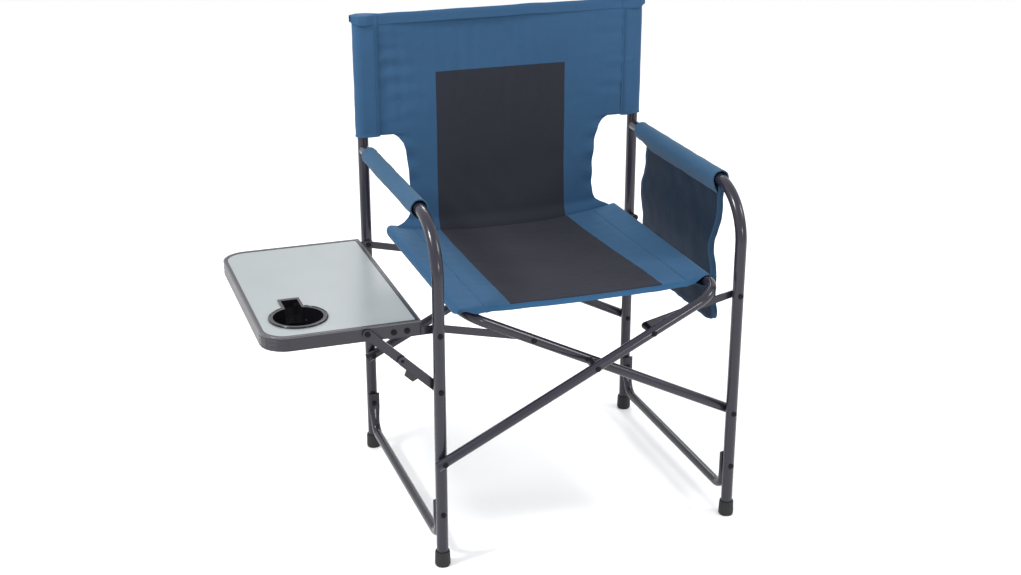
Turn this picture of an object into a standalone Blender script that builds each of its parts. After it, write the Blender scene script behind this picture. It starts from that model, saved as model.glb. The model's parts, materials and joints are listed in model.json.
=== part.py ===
"""Folding director's camp chair with a drop-down side table.

Two tubular side frames are joined by a pair of U-shaped scissor tubes, which also carry the seat.
The chair faces -Y, +Z is up, and the side table hangs on the -X frame. Units are metres.
Everything is laid out from the chair's own zero: its centre plane (x), the front legs' axis (y)
and the floor (z). The empty chair_zero moves that point so that the box's centre is the origin.
"""

from math import acos, atan2, cos, degrees, pi, radians, sin, sqrt

import bpy
import bmesh
from mathutils import Vector

# ---- driving dimensions ----
GAP = 0.0003                 # clearance between pieces that touch
HALF_WIDTH = 0.293           # centre plane to a side frame's legs
DEPTH = 0.516                # front leg's axis to back post's axis
LEG_R = 0.011
THIN_R = 0.0095              # scissor tubes
RAIL_R = 0.009               # base rails
WALL = 0.0014
POST_TOP = 0.925
ARM_Z = 0.665
ARM_BEND_R = 0.100
FOOT_H = 0.006
BASE_RAIL_Z = 0.048
BASE_RAIL_TOP = 0.130
BASE_RAIL_BEND_R = 0.030
BASE_RIVET_Z = 0.109
FLATTENED = 0.36             # a base rail end's depth, as a share of the round tube's
FLAT_SPREAD = 0.38

SCISSOR_PIVOT_Z = 0.222
SEAT_RAIL_X = 0.243
SEAT_RAIL_Z = 0.4895
SCISSOR_BEND_R = 0.045
SCISSOR_TAIL = 0.014         # tube beyond its lower pivot
SCISSOR_OFFSET = LEG_R + THIN_R + GAP
FOLD_ANGLE = radians(40.0)

LINK_PIVOT_Z = 0.4655
LINK_HALF_W = 0.007
LINK_T = 0.003

TABLE_INNER_X = -0.318
TABLE_OUTER_X = -0.598
TABLE_FRONT_Y = 0.0213
TABLE_REAR_Y = 0.4830
TABLE_TOP_Z = 0.4875
TABLE_H = 0.0265
TABLE_CORNER_R = 0.047
TABLE_WALL = 0.0022
TABLE_LIP = 0.008
TABLE_LIP_T = 0.003
PANEL_T = 0.004
CUP_X = -0.520
CUP_Y = 0.107
CUP_R = 0.0450
CUP_FLANGE_R = 0.0530
CUP_DEPTH = 0.042
SLOT_HALF_W = 0.0150
SLOT_END_Y = 0.196

STRAP_T = 0.002
STRAP_LOW = 0.007            # strap's reach below and above its rivet
STRAP_HIGH = 0.0085
STRAP_TABLE_X = -0.378       # strap's end under the table
STRAP_SCREW_X = (-0.3685, -0.3445)
STRAP_SCREW_Z = 0.4715
PANEL_DROP = 0.0006          # panel's top below the rim's
CUP_WALL = 0.002
CUP_FLANGE_T = 0.0022
SLOT_DEPTH = 0.030
SLOT_WALL = 0.0018
DRAIN_R = 0.006

STAY_TABLE_X = -0.417
STAY_TABLE_Z = 0.476
STAY_LEG_Z = 0.357
STAY_UPPER_L = 0.0835
STAY_HALF_W = 0.0085
STAY_T = 0.0044

PIN_R = 0.0030
RIVET_HEAD_R = 0.0055
RIVET_HEAD_H = 0.0020
BORE_R = PIN_R + GAP

CLOTH_T = 0.0022
ARM_COVER_R = 0.0168
ARM_COVER_END = 0.464
SLEEVE_R = 0.0125
POST_SLEEVE_R = 0.0137
BACK_TOP = 0.935
BACK_LOW = 0.692
BACK_NECK_HALF_W = 0.192
BACK_NECK_LOW = 0.484
SEAT_SAG = 0.012

# ---- what follows from them ----
SLOPE = atan2(SEAT_RAIL_Z - SCISSOR_PIVOT_Z, SEAT_RAIL_X + HALF_WIDTH)
HALF_LEVER = HALF_WIDTH / cos(SLOPE)         # lower pivot to centre pivot
CENTRE_Z = SCISSOR_PIVOT_Z + HALF_LEVER * sin(SLOPE)
LINK_RISE = LINK_PIVOT_Z - SCISSOR_PIVOT_Z
LINK_SUM = 2 * HALF_LEVER * (sin(SLOPE) + sin(SLOPE + FOLD_ANGLE))
LINK_REACH = LINK_SUM * HALF_LEVER / (LINK_SUM - LINK_RISE)   # closes the linkage open and folded
LINK_END_X = LINK_REACH * cos(SLOPE) - HALF_WIDTH
LINK_END_Z = SCISSOR_PIVOT_Z + LINK_REACH * sin(SLOPE)
TUBE_A_Y = (-SCISSOR_OFFSET, DEPTH - SCISSOR_OFFSET)
TUBE_B_Y = (SCISSOR_OFFSET, DEPTH + SCISSOR_OFFSET)
STAY_LENGTH = sqrt((STAY_TABLE_X + HALF_WIDTH) ** 2 + (STAY_TABLE_Z - STAY_LEG_Z) ** 2)
STAY_JOINT_X = STAY_TABLE_X + STAY_UPPER_L * (-HALF_WIDTH - STAY_TABLE_X) / STAY_LENGTH
STAY_JOINT_Z = STAY_TABLE_Z + STAY_UPPER_L * (STAY_LEG_Z - STAY_TABLE_Z) / STAY_LENGTH
STAY_LOWER_Y = LEG_R + GAP                   # front face of the lower arm, behind the leg
STAY_UPPER_Y = STAY_LOWER_Y + STAY_T + GAP
FRONT_STRAP_Y = TABLE_FRONT_Y + TABLE_WALL + GAP
REAR_STRAP_Y = TABLE_REAR_Y - TABLE_WALL - GAP - STRAP_T
REAR_EAR_Y = DEPTH - LEG_R - GAP - LINK_T - GAP - STRAP_T
FIRST_Y = TUBE_A_Y[0] - THIN_R - GAP - RIVET_HEAD_H
LAST_Y = TUBE_B_Y[1] + THIN_R + GAP + RIVET_HEAD_H
ZERO = Vector((-(TABLE_OUTER_X + HALF_WIDTH + ARM_COVER_R) / 2, -(FIRST_Y + LAST_Y) / 2, 0.0))

STEEL = (0.055, 0.056, 0.062, 1.0)
DARK_STEEL = (0.030, 0.030, 0.033, 1.0)
RUBBER = (0.012, 0.012, 0.013, 1.0)
BLUE = (0.045, 0.115, 0.215, 1.0)
NAVY = (0.012, 0.018, 0.035, 1.0)
PALE = (0.50, 0.55, 0.57, 1.0)
BLACK = (0.008, 0.008, 0.010, 1.0)

parts = None
cutters = None


# ---- scene bookkeeping ----
def clear_scene():
    for old in list(bpy.data.objects):
        bpy.data.objects.remove(old, do_unlink=True)


def new_collection(name):
    made = bpy.data.collections.new(name)
    bpy.context.scene.collection.children.link(made)
    return made


def pivot_empty(name, x, z, parent):
    """An empty on a joint's axis, which runs along Y through (x, z)."""
    empty = bpy.data.objects.new(name, None)
    empty.empty_display_size = 0.03
    parts.objects.link(empty)
    empty["at"] = (x, 0.0, z)
    place(empty, parent, Vector((x, 0.0, z)))
    return empty


def place(obj, parent, at):
    """Parents obj and puts its origin at a point given from the chair's zero."""
    obj.parent = parent
    if parent is None:
        obj.location = at
    else:
        obj.location = at - Vector(parent["at"])


def finish(obj, parent, colour, roughness, metallic=0.0, at=(0.0, 0.0, 0.0)):
    """Files a part under the chair and gives it a material of its own."""
    parts.objects.link(obj)
    place(obj, parent, Vector(at))
    material = bpy.data.materials.new(obj.name)
    material.use_nodes = True
    surface = material.node_tree.nodes["Principled BSDF"]
    surface.inputs["Base Color"].default_value = colour
    surface.inputs["Roughness"].default_value = roughness
    surface.inputs["Metallic"].default_value = metallic
    obj.data.materials.clear()
    obj.data.materials.append(material)
    return obj


def finish_cutter(obj, parent, at=(0.0, 0.0, 0.0)):
    cutters.objects.link(obj)
    place(obj, parent, Vector(at))
    obj.hide_render = True
    obj.display_type = "WIRE"
    return obj


def boolean(obj, other, operation="DIFFERENCE"):
    modifier = obj.modifiers.new(operation.title(), "BOOLEAN")
    modifier.operation = operation
    modifier.solver = "EXACT"
    modifier.object = other


def smooth(mesh, angle=40):
    mesh.shade_smooth()
    mesh.set_sharp_from_angle(angle=radians(angle))


# ---- shapes ----
def curve_to_mesh(name, curve):
    """The evaluated mesh of a curve, with its caps welded."""
    source = bpy.data.objects.new(name + "_curve", curve)
    bpy.context.scene.collection.objects.link(source)
    depsgraph = bpy.context.evaluated_depsgraph_get()
    mesh = bpy.data.meshes.new_from_object(source.evaluated_get(depsgraph))
    mesh.name = name
    bpy.data.objects.remove(source, do_unlink=True)
    work = bmesh.new()
    work.from_mesh(mesh)
    bmesh.ops.remove_doubles(work, verts=work.verts, dist=1e-6)
    work.to_mesh(mesh)
    work.free()
    return mesh


def rounded_path(corners, bend_radius, steps=6):
    """The points of a polyline whose inner corners are bent to a radius."""
    corners = [Vector(c) for c in corners]
    path = [corners[0]]
    for before, corner, after in zip(corners, corners[1:], corners[2:]):
        arrive = (corner - before).normalized()
        leave = (after - corner).normalized()
        turn = acos(max(-1.0, min(1.0, arrive.dot(leave))))
        inward = (leave - arrive).normalized()
        centre = corner + inward * (bend_radius / cos(turn / 2))
        spoke = corner - arrive * bend_radius * sin(turn / 2) / cos(turn / 2) - centre
        for step in range(steps + 1):
            angle = turn * step / steps
            path.append(centre + spoke * cos(angle) + arrive * bend_radius * sin(angle))
    path.append(corners[-1])
    return path


def tube_mesh(name, path, radius, sides=14, caps=False):
    curve = bpy.data.curves.new(name, "CURVE")
    curve.dimensions = "3D"
    curve.bevel_depth = radius
    curve.bevel_resolution = (sides - 4) // 2
    curve.use_fill_caps = caps
    spline = curve.splines.new("POLY")
    spline.points.add(len(path) - 1)
    for point, target in zip(spline.points, path):
        point.co = (*target, 1.0)
    return curve_to_mesh(name, curve)


def hollow(obj, wall):
    shell = obj.modifiers.new("Wall", "SOLIDIFY")
    shell.thickness = wall
    shell.offset = -1.0
    shell.use_even_offset = True


def tube(name, path, radius, wall, parent, colour=STEEL, roughness=0.35, metallic=0.6, sides=14):
    """A hollow tube with open ends."""
    mesh = tube_mesh(name, path, radius, sides)
    smooth(mesh)
    obj = bpy.data.objects.new(name, mesh)
    finish(obj, parent, colour, roughness, metallic)
    hollow(obj, wall)
    return obj


def drill(obj, parent, holes):
    """Bores along Y through obj: each hole is x, z, radius, first y, last y."""
    work = bmesh.new()
    for x, z, radius, start, end in holes:
        made = bmesh.ops.create_cone(
            work, cap_ends=True, segments=12, radius1=radius, radius2=radius, depth=end - start
        )
        for vert in made["verts"]:
            vert.co = Vector((vert.co.x + x, -vert.co.z + (start + end) / 2, vert.co.y + z))
    bmesh.ops.recalc_face_normals(work, faces=work.faces)
    mesh = bpy.data.meshes.new(obj.name + "_bores")
    work.to_mesh(mesh)
    work.free()
    boolean(obj, finish_cutter(bpy.data.objects.new(obj.name + "_bores", mesh), parent))


def box_mesh(name, low, high):
    work = bmesh.new()
    bmesh.ops.create_cube(work, size=1.0)
    low, high = Vector(low), Vector(high)
    for vert in work.verts:
        vert.co = Vector(
            tuple((low[i] + high[i]) / 2 + vert.co[i] * (high[i] - low[i]) for i in range(3))
        )
    mesh = bpy.data.meshes.new(name)
    work.to_mesh(mesh)
    work.free()
    return mesh


def cut_box(obj, parent, low, high, label):
    name = obj.name + label
    cutter = finish_cutter(bpy.data.objects.new(name, box_mesh(name, low, high)), parent)
    boolean(obj, cutter)


def turned_mesh(name, profile, steps=14):
    """A profile of (radius, height) points, top to bottom, spun about Z."""
    mesh = bpy.data.meshes.new(name)
    points = [(radius, 0.0, height) for radius, height in profile]
    mesh.from_pydata(points, [(i, i + 1) for i in range(len(points) - 1)], [])
    source = bpy.data.objects.new(name + "_profile", mesh)
    bpy.context.scene.collection.objects.link(source)
    screw = source.modifiers.new("Turn", "SCREW")
    screw.steps = steps
    screw.render_steps = steps
    screw.use_merge_vertices = True
    screw.merge_threshold = 0.00001
    depsgraph = bpy.context.evaluated_depsgraph_get()
    turned = bpy.data.meshes.new_from_object(source.evaluated_get(depsgraph))
    turned.name = name
    bpy.data.objects.remove(source, do_unlink=True)
    work = bmesh.new()
    work.from_mesh(turned)
    bmesh.ops.remove_doubles(work, verts=work.verts, dist=1e-6)
    bmesh.ops.recalc_face_normals(work, faces=work.faces)
    work.to_mesh(turned)
    work.free()
    return turned


def rivet(name, x, z, front, back, parent, collars=(), tail=True):
    """A rivet along Y, its head in front of front and its tail behind back.

    Each collar is (first y, last y, radius): a spacer formed on the shank.
    """
    stops = [(0.0, front - RIVET_HEAD_H)]
    stops += [(RIVET_HEAD_R * 0.7, front - RIVET_HEAD_H), (RIVET_HEAD_R, front - RIVET_HEAD_H * 0.45)]
    stops += [(RIVET_HEAD_R, front), (PIN_R, front)]
    for start, end, radius in collars:
        stops += [(PIN_R, start), (radius, start), (radius, end), (PIN_R, end)]
    stops += [(PIN_R, back)]
    if tail:
        stops += [(RIVET_HEAD_R * 0.8, back), (RIVET_HEAD_R * 0.8, back + RIVET_HEAD_H)]
        stops += [(0.0, back + RIVET_HEAD_H)]
    else:
        stops += [(0.0, back)]
    mesh = turned_mesh(name, [(radius, -along) for radius, along in stops], steps=12)
    smooth(mesh)
    obj = bpy.data.objects.new(name, mesh)
    obj.rotation_euler = (radians(90), 0.0, 0.0)
    return finish(obj, parent, DARK_STEEL, 0.35, 0.8, at=(x, 0.0, z))


def plate_mesh(name, outlines, thickness):
    """A flat plate in its own XY plane, centred on it; the first outline is cut by the others."""
    curve = bpy.data.curves.new(name, "CURVE")
    curve.dimensions = "2D"
    curve.fill_mode = "BOTH"
    curve.extrude = thickness / 2
    for outline in outlines:
        spline = curve.splines.new("POLY")
        spline.points.add(len(outline) - 1)
        for point, target in zip(spline.points, outline):
            point.co = (target[0], target[1], 0.0, 1.0)
        spline.use_cyclic_u = True
    return curve_to_mesh(name, curve)


def arc(centre, radius, start, end, steps):
    """Points along an arc, with both ends, angles in degrees."""
    angles = [radians(start + (end - start) * step / steps) for step in range(steps + 1)]
    return [(centre[0] + radius * cos(a), centre[1] + radius * sin(a)) for a in angles]


def bar_outline(first, last, half_width, steps=6):
    """A bar with round ends between two pivots."""
    heading = degrees(atan2(last[1] - first[1], last[0] - first[0]))
    near = arc(first, half_width, heading + 90, heading + 270, steps)
    far = arc(last, half_width, heading - 90, heading + 90, steps)
    return near + far


def upright_plate(name, outlines, y_front, thickness, parent, colour, roughness, metallic=0.0):
    """A plate standing in the XZ plane, its outline given as (x, z) and its front face at y_front."""
    mesh = plate_mesh(name, outlines, thickness)
    obj = bpy.data.objects.new(name, mesh)
    obj.rotation_euler = (radians(90), 0.0, 0.0)
    return finish(
        obj, parent, colour, roughness, metallic, at=(0.0, y_front + thickness / 2, 0.0)
    )


def rounded_rectangle(x0, y0, x1, y1, outer_r, inner_r, steps=6):
    """The table's outline: round corners at the outer (x0) side, small ones at the inner (x1)."""
    outline = arc((x1 - inner_r, y1 - inner_r), inner_r, 0, 90, 2)
    outline += arc((x0 + outer_r, y1 - outer_r), outer_r, 90, 180, steps)
    outline += arc((x0 + outer_r, y0 + outer_r), outer_r, 180, 270, steps)
    outline += arc((x1 - inner_r, y0 + inner_r), inner_r, 270, 360, 2)
    return outline


def flat_plate(name, outlines, z_low, thickness):
    """A level plate whose lower face is at z_low, not yet filed anywhere."""
    obj = bpy.data.objects.new(name, plate_mesh(name, outlines, thickness))
    return obj, (0.0, 0.0, z_low + thickness / 2)


# ---- side frames ----
def leg_and_arm(side, name, parent):
    """Front leg and armrest, bent from one tube."""
    x = side * HALF_WIDTH
    corners = [(x, 0, FOOT_H + GAP), (x, 0, ARM_Z), (x, DEPTH - LEG_R - 2 * GAP, ARM_Z)]
    obj = tube(name, rounded_path(corners, ARM_BEND_R, 8), LEG_R, WALL, parent)
    heights = [BASE_RIVET_Z, SCISSOR_PIVOT_Z, LINK_PIVOT_Z]
    if side < 0:
        heights.append(STAY_LEG_Z)
    drill(obj, parent, [(x, z, BORE_R, -0.02, 0.02) for z in heights])


def back_post(side, name, parent):
    x = side * HALF_WIDTH
    obj = tube(name, [Vector((x, DEPTH, FOOT_H + GAP)), Vector((x, DEPTH, POST_TOP))], LEG_R, WALL, parent)
    heights = [BASE_RIVET_Z, SCISSOR_PIVOT_Z, LINK_PIVOT_Z, ARM_Z]
    drill(obj, parent, [(x, z, BORE_R, DEPTH - 0.02, DEPTH + 0.02) for z in heights])


def base_rail(side, name, parent):
    """Floor rail whose ends turn up and are pressed flat against the legs."""
    x = side * HALF_WIDTH
    leg_side = LEG_R + GAP
    post_side = DEPTH - LEG_R - GAP
    front = leg_side + RAIL_R
    rear = post_side - RAIL_R
    corners = [(x, front, BASE_RAIL_TOP), (x, front, BASE_RAIL_Z)]
    corners += [(x, rear, BASE_RAIL_Z), (x, rear, BASE_RAIL_TOP)]
    path = rounded_path(corners, BASE_RAIL_BEND_R, 6)
    path.insert(1, Vector((x, front, BASE_RAIL_TOP - 0.030)))
    path.insert(-1, Vector((x, rear, BASE_RAIL_TOP - 0.030)))
    mesh = tube_mesh(name, path, RAIL_R)
    for vert in mesh.vertices:
        press = max(0.0, min(1.0, (vert.co.z - 0.070) / 0.028))
        fixed = leg_side if vert.co.y < DEPTH / 2 else post_side
        vert.co.y = fixed + (vert.co.y - fixed) * (1 + (FLATTENED - 1) * press)
        vert.co.x = x + (vert.co.x - x) * (1 + FLAT_SPREAD * press)
    smooth(mesh)
    obj = bpy.data.objects.new(name, mesh)
    finish(obj, parent, STEEL, 0.35, 0.6)
    hollow(obj, 0.0011)
    drill(
        obj,
        parent,
        [
            (x, BASE_RIVET_Z, BORE_R, front - 0.02, front + 0.02),
            (x, BASE_RIVET_Z, BORE_R, rear - 0.02, rear + 0.02),
        ],
    )


def foot(name, x, y, parent):
    """Rubber cap over a leg's end."""
    bore = LEG_R + GAP
    outer = 0.0142
    profile = [(0.0, FOOT_H), (bore, FOOT_H), (bore, 0.030), (bore + 0.0022, 0.030), (outer, 0.026)]
    profile += [(outer + 0.0006, 0.004), (outer - 0.001, 0.0), (0.0, 0.0)]
    mesh = turned_mesh(name, profile, steps=16)
    smooth(mesh)
    finish(bpy.data.objects.new(name, mesh), parent, RUBBER, 0.8, at=(x, y, 0.0))


def post_plug(name, x, parent):
    """Plastic plug in a back post's open top."""
    inner = LEG_R - WALL - GAP
    top = POST_TOP + GAP
    profile = [(0.0, top + 0.003), (LEG_R - 0.002, top + 0.003), (LEG_R, top + 0.001), (LEG_R, top)]
    profile += [(inner, top), (inner, top - 0.015), (0.0, top - 0.015)]
    mesh = turned_mesh(name, profile, steps=14)
    finish(bpy.data.objects.new(name, mesh), parent, BLACK, 0.5, at=(x, DEPTH, 0.0))


def arm_bolt(name, x, parent):
    """Bolt from behind the post into a nut barrel inside the arm's end."""
    head = DEPTH + LEG_R + GAP
    arm_end = DEPTH - LEG_R - 3 * GAP
    barrel = LEG_R - WALL - GAP
    stops = [(0.0, head + 0.003), (0.0045, head + 0.003), (0.0065, head + 0.001), (0.0065, head)]
    stops += [(PIN_R, head), (PIN_R, arm_end), (barrel, arm_end - 0.002), (barrel, arm_end - 0.020)]
    stops += [(0.0, arm_end - 0.020)]
    mesh = turned_mesh(name, [(radius, along) for radius, along in stops], steps=12)
    smooth(mesh)
    obj = bpy.data.objects.new(name, mesh)
    obj.rotation_euler = (radians(-90), 0.0, 0.0)
    finish(obj, parent, DARK_STEEL, 0.35, 0.8, at=(x, 0.0, ARM_Z))


def side_frame(side, word, parent):
    x = side * HALF_WIDTH
    leg_and_arm(side, f"{word}_leg_and_arm", parent)
    back_post(side, f"{word}_back_post", parent)
    base_rail(side, f"{word}_base_rail", parent)
    foot(f"front_{word}_foot", x, 0.0, parent)
    foot(f"rear_{word}_foot", x, DEPTH, parent)
    post_plug(f"{word}_post_plug", x, parent)
    arm_bolt(f"{word}_arm_bolt", x, parent)
    flat = 2 * RAIL_R * FLATTENED
    rivet(f"front_{word}_rail_rivet", x, BASE_RIVET_Z, -LEG_R - GAP, LEG_R + 2 * GAP + flat, parent)
    rivet(
        f"rear_{word}_rail_rivet", x, BASE_RIVET_Z,
        DEPTH - LEG_R - 2 * GAP - flat, DEPTH + LEG_R + GAP, parent,
    )


def frame_pins(parent, side, word, tube_y):
    """The rivets on which a scissor tube's two lower ends turn."""
    x = side * HALF_WIDTH
    for end, y_leg, y_tube in (("front", 0.0, tube_y[0]), ("rear", DEPTH, tube_y[1])):
        first = min(y_leg - LEG_R, y_tube - THIN_R) - GAP
        last = max(y_leg + LEG_R, y_tube + THIN_R) + GAP
        rivet(f"{end}_{word}_scissor_rivet", x, SCISSOR_PIVOT_Z, first, last, parent)


def link_pins(parent, side, word):
    """The rivets on which the links turn; the outer two also carry the table's straps."""
    x = side * HALF_WIDTH
    collar = 0.0062
    leg_back = LEG_R + GAP
    post_front = DEPTH - LEG_R - GAP
    if side < 0:
        strap = FRONT_STRAP_Y
        far = TUBE_B_Y[0] + THIN_R + GAP
        collars = [(leg_back, strap - GAP, collar), (strap + STRAP_T + GAP, far - GAP, collar)]
        rivet("front_left_link_rivet", x, LINK_PIVOT_Z, -LEG_R - GAP, far + LINK_T + GAP, parent, collars)
        near = REAR_EAR_Y - GAP
        rivet("rear_left_link_rivet", x, LINK_PIVOT_Z, near, DEPTH + LEG_R + GAP, parent)
    else:
        rivet("front_right_link_rivet", x, LINK_PIVOT_Z, -LEG_R - GAP, leg_back + LINK_T + GAP, parent)
        near = TUBE_A_Y[1] - THIN_R - GAP
        collars = [(near + GAP, post_front, collar)]
        rivet(
            "rear_right_link_rivet", x, LINK_PIVOT_Z,
            near - LINK_T - GAP, DEPTH + LEG_R + GAP, parent, collars,
        )


# ---- scissor ----
def scissor_tube(name, foot_side, tube_y, parent):
    """A U-shaped tube: up from one frame at the front, back along the far seat rail, and down."""
    along = Vector((-foot_side * cos(SLOPE), 0.0, sin(SLOPE)))
    corners = []
    for y in tube_y:
        low = Vector((foot_side * HALF_WIDTH, y, SCISSOR_PIVOT_Z)) - along * SCISSOR_TAIL
        corners.append((low, Vector((-foot_side * SEAT_RAIL_X, y, SEAT_RAIL_Z))))
    path = rounded_path([corners[0][0], corners[0][1], corners[1][1], corners[1][0]], SCISSOR_BEND_R, 7)
    obj = tube(name, path, THIN_R, 0.0012, parent)
    spots = [
        (foot_side * HALF_WIDTH, SCISSOR_PIVOT_Z),
        (0.0, CENTRE_Z),
        (-foot_side * LINK_END_X, LINK_END_Z),
    ]
    holes = []
    for x, z in spots:
        for y in tube_y:
            holes.append((x, z, BORE_R, y - 0.016, y + 0.016))
    drill(obj, parent, holes)


def centre_pins(parent):
    """Rivets and plastic spacers where the scissor tubes cross."""
    for end, y_a, y_b in (("front", TUBE_A_Y[0], TUBE_B_Y[0]), ("rear", TUBE_A_Y[1], TUBE_B_Y[1])):
        rivet(f"{end}_centre_rivet", 0.0, CENTRE_Z, y_a - THIN_R - GAP, y_b + THIN_R + GAP, parent)
        first = y_a + THIN_R + GAP
        last = y_b - THIN_R - GAP
        profile = [(PIN_R + GAP, -first), (0.0075, -first), (0.0075, -last), (PIN_R + GAP, -last)]
        mesh = turned_mesh(f"{end}_centre_spacer", profile + profile[:1], steps=14)
        smooth(mesh)
        obj = bpy.data.objects.new(f"{end}_centre_spacer", mesh)
        obj.rotation_euler = (radians(90), 0.0, 0.0)
        finish(obj, parent, BLACK, 0.5, at=(0.0, 0.0, CENTRE_Z))


def link_end_rivets(parent, side, tube_y, names):
    """Rivets through a scissor tube that meet the far ends of its two links, face to face."""
    x = side * LINK_END_X
    front_y, rear_y = tube_y
    if side < 0:
        rivet(names[0], x, LINK_END_Z, front_y - THIN_R - GAP, front_y + THIN_R, parent, tail=False)
        first = DEPTH - LEG_R
        collars = [(first, rear_y - THIN_R - GAP, 0.0065)]
        plain_pin(names[1], x, LINK_END_Z, first, rear_y + THIN_R + GAP, parent, collars)
    else:
        collars = [(front_y + THIN_R + GAP, LEG_R, 0.0065)]
        rivet(names[0], x, LINK_END_Z, front_y - THIN_R - GAP, LEG_R, parent, collars, tail=False)
        plain_pin(names[1], x, LINK_END_Z, rear_y - THIN_R, rear_y + THIN_R + GAP, parent, ())


def plain_pin(name, x, z, front, back, parent, collars):
    """A rivet whose head is at the back and whose front end is flush."""
    stops = [(0.0, back + RIVET_HEAD_H), (RIVET_HEAD_R * 0.7, back + RIVET_HEAD_H)]
    stops += [(RIVET_HEAD_R, back + RIVET_HEAD_H * 0.45), (RIVET_HEAD_R, back), (PIN_R, back)]
    for start, end, radius in collars:
        stops += [(PIN_R, end), (radius, end), (radius, start)]
    if not collars:
        stops += [(PIN_R, front)]
    stops += [(0.0, front)]
    mesh = turned_mesh(name, stops, steps=12)
    smooth(mesh)
    obj = bpy.data.objects.new(name, mesh)
    obj.rotation_euler = (radians(-90), 0.0, 0.0)
    finish(obj, parent, DARK_STEEL, 0.35, 0.8, at=(x, 0.0, z))


def link(name, side, y_front, parent):
    """A flat bar from a leg to the scissor tube."""
    first = (side * HALF_WIDTH, LINK_PIVOT_Z)
    last = (side * LINK_END_X, LINK_END_Z)
    outlines = [bar_outline(first, last, LINK_HALF_W), arc(first, BORE_R, 0, 330, 11)]
    upright_plate(name, outlines, y_front, LINK_T, parent, DARK_STEEL, 0.4, 0.6)


# ---- side table ----
def table_outline(inset, corner_r=TABLE_CORNER_R):
    return rounded_rectangle(
        TABLE_OUTER_X + inset,
        TABLE_FRONT_Y + inset,
        TABLE_INNER_X - inset,
        TABLE_REAR_Y - inset,
        corner_r - inset,
        0.003,
    )


def cup_opening(radius, half_width, end_y, steps=20):
    """A circle with a slot running off it towards the back, seen from above."""
    edge = degrees(atan2(sqrt(radius ** 2 - half_width ** 2), half_width))
    outline = arc((CUP_X, CUP_Y), radius, 180 - edge, 360 + edge, steps)
    return outline + [(CUP_X + half_width, end_y), (CUP_X - half_width, end_y)]


def table_rim(parent):
    low = TABLE_TOP_Z - TABLE_H
    rim, at = flat_plate("table_rim", [table_outline(0.0)], low, TABLE_H)
    finish(rim, parent, STEEL, 0.4, 0.5, at=at)
    pocket_h = TABLE_H - TABLE_LIP_T
    pocket, at = flat_plate("table_rim_pocket", [table_outline(TABLE_WALL)], low - 0.01, pocket_h + 0.01)
    boolean(rim, finish_cutter(pocket, parent, at))
    window, at = flat_plate("table_rim_window", [table_outline(TABLE_LIP)], low, TABLE_H + 0.01)
    boolean(rim, finish_cutter(window, parent, at))
    for label, first in (("_front_notch", FRONT_STRAP_Y), ("_rear_notch", REAR_STRAP_Y)):
        corner = (TABLE_INNER_X - 0.010, first - GAP, low - 0.01)
        far = (TABLE_INNER_X + 0.010, first + STRAP_T + GAP, LINK_PIVOT_Z + 0.009)
        cut_box(rim, parent, corner, far, label)
    for y in (TABLE_FRONT_Y, TABLE_REAR_Y):
        holes = [(x, STRAP_SCREW_Z, BORE_R, y - 0.008, y + 0.008) for x in STRAP_SCREW_X]
        if y == TABLE_FRONT_Y:
            holes.append((STAY_TABLE_X, STAY_TABLE_Z, BORE_R, y - 0.008, y + 0.008))
        drill_numbered(rim, parent, holes, "front" if y == TABLE_FRONT_Y else "rear")


def drill_numbered(obj, parent, holes, label):
    """drill, for an object that is drilled more than once."""
    name = obj.name
    obj.name = f"{name}_{label}"
    drill(obj, parent, holes)
    obj.name = name


def table_panel(parent):
    opening = cup_opening(CUP_R + 0.0026, SLOT_HALF_W + 0.0022, SLOT_END_Y - 0.0035)
    outlines = [table_outline(TABLE_LIP + GAP), opening]
    thickness = PANEL_T
    low = TABLE_TOP_Z - PANEL_DROP - thickness
    panel, at = flat_plate("table_panel", outlines, low, thickness)
    finish(panel, parent, PALE, 0.3, at=at)


def cup_holder(parent):
    """Moulded cup insert with a flange and a slot for a mug's handle."""
    top = TABLE_TOP_Z - PANEL_DROP + GAP
    flange = CUP_FLANGE_T
    outer, at = flat_plate(
        "cup_holder", [cup_opening(CUP_FLANGE_R, SLOT_HALF_W + 0.0045, SLOT_END_Y + 0.0025, 28)], top, flange
    )
    finish(outer, parent, BLACK, 0.2, at=at)
    body_h = CUP_DEPTH
    body, at = flat_plate(
        "cup_holder_body", [arc((CUP_X, CUP_Y), CUP_R + CUP_WALL, 0, 345, 23)], top - body_h, body_h + 0.001
    )
    boolean(outer, finish_cutter(body, parent, at), "UNION")
    slot_h = SLOT_DEPTH
    wall = SLOT_WALL
    cut_low = (CUP_X - SLOT_HALF_W - wall, CUP_Y + 0.03, top - slot_h)
    cut_high = (CUP_X + SLOT_HALF_W + wall, SLOT_END_Y - 0.004, top + 0.001)
    trough = box_mesh("cup_holder_trough", cut_low, cut_high)
    boolean(outer, finish_cutter(bpy.data.objects.new("cup_holder_trough", trough), parent), "UNION")
    bore_h = body_h + flange - CUP_WALL + 0.01
    bore, at = flat_plate(
        "cup_holder_bore", [arc((CUP_X, CUP_Y), CUP_R, 0, 345, 23)], top - body_h + CUP_WALL, bore_h
    )
    boolean(outer, finish_cutter(bore, parent, at))
    slot_low = (CUP_X - SLOT_HALF_W, CUP_Y, top - slot_h + wall)
    slot_high = (CUP_X + SLOT_HALF_W, SLOT_END_Y - 0.004 - wall, top + 0.02)
    cut_box(outer, parent, slot_low, slot_high, "_slot")
    drain, at = flat_plate(
        "cup_holder_drain", [arc((CUP_X, CUP_Y), DRAIN_R, 0, 330, 11)], top - body_h - 0.01, 0.02
    )
    boolean(outer, finish_cutter(drain, parent, at))


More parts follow.
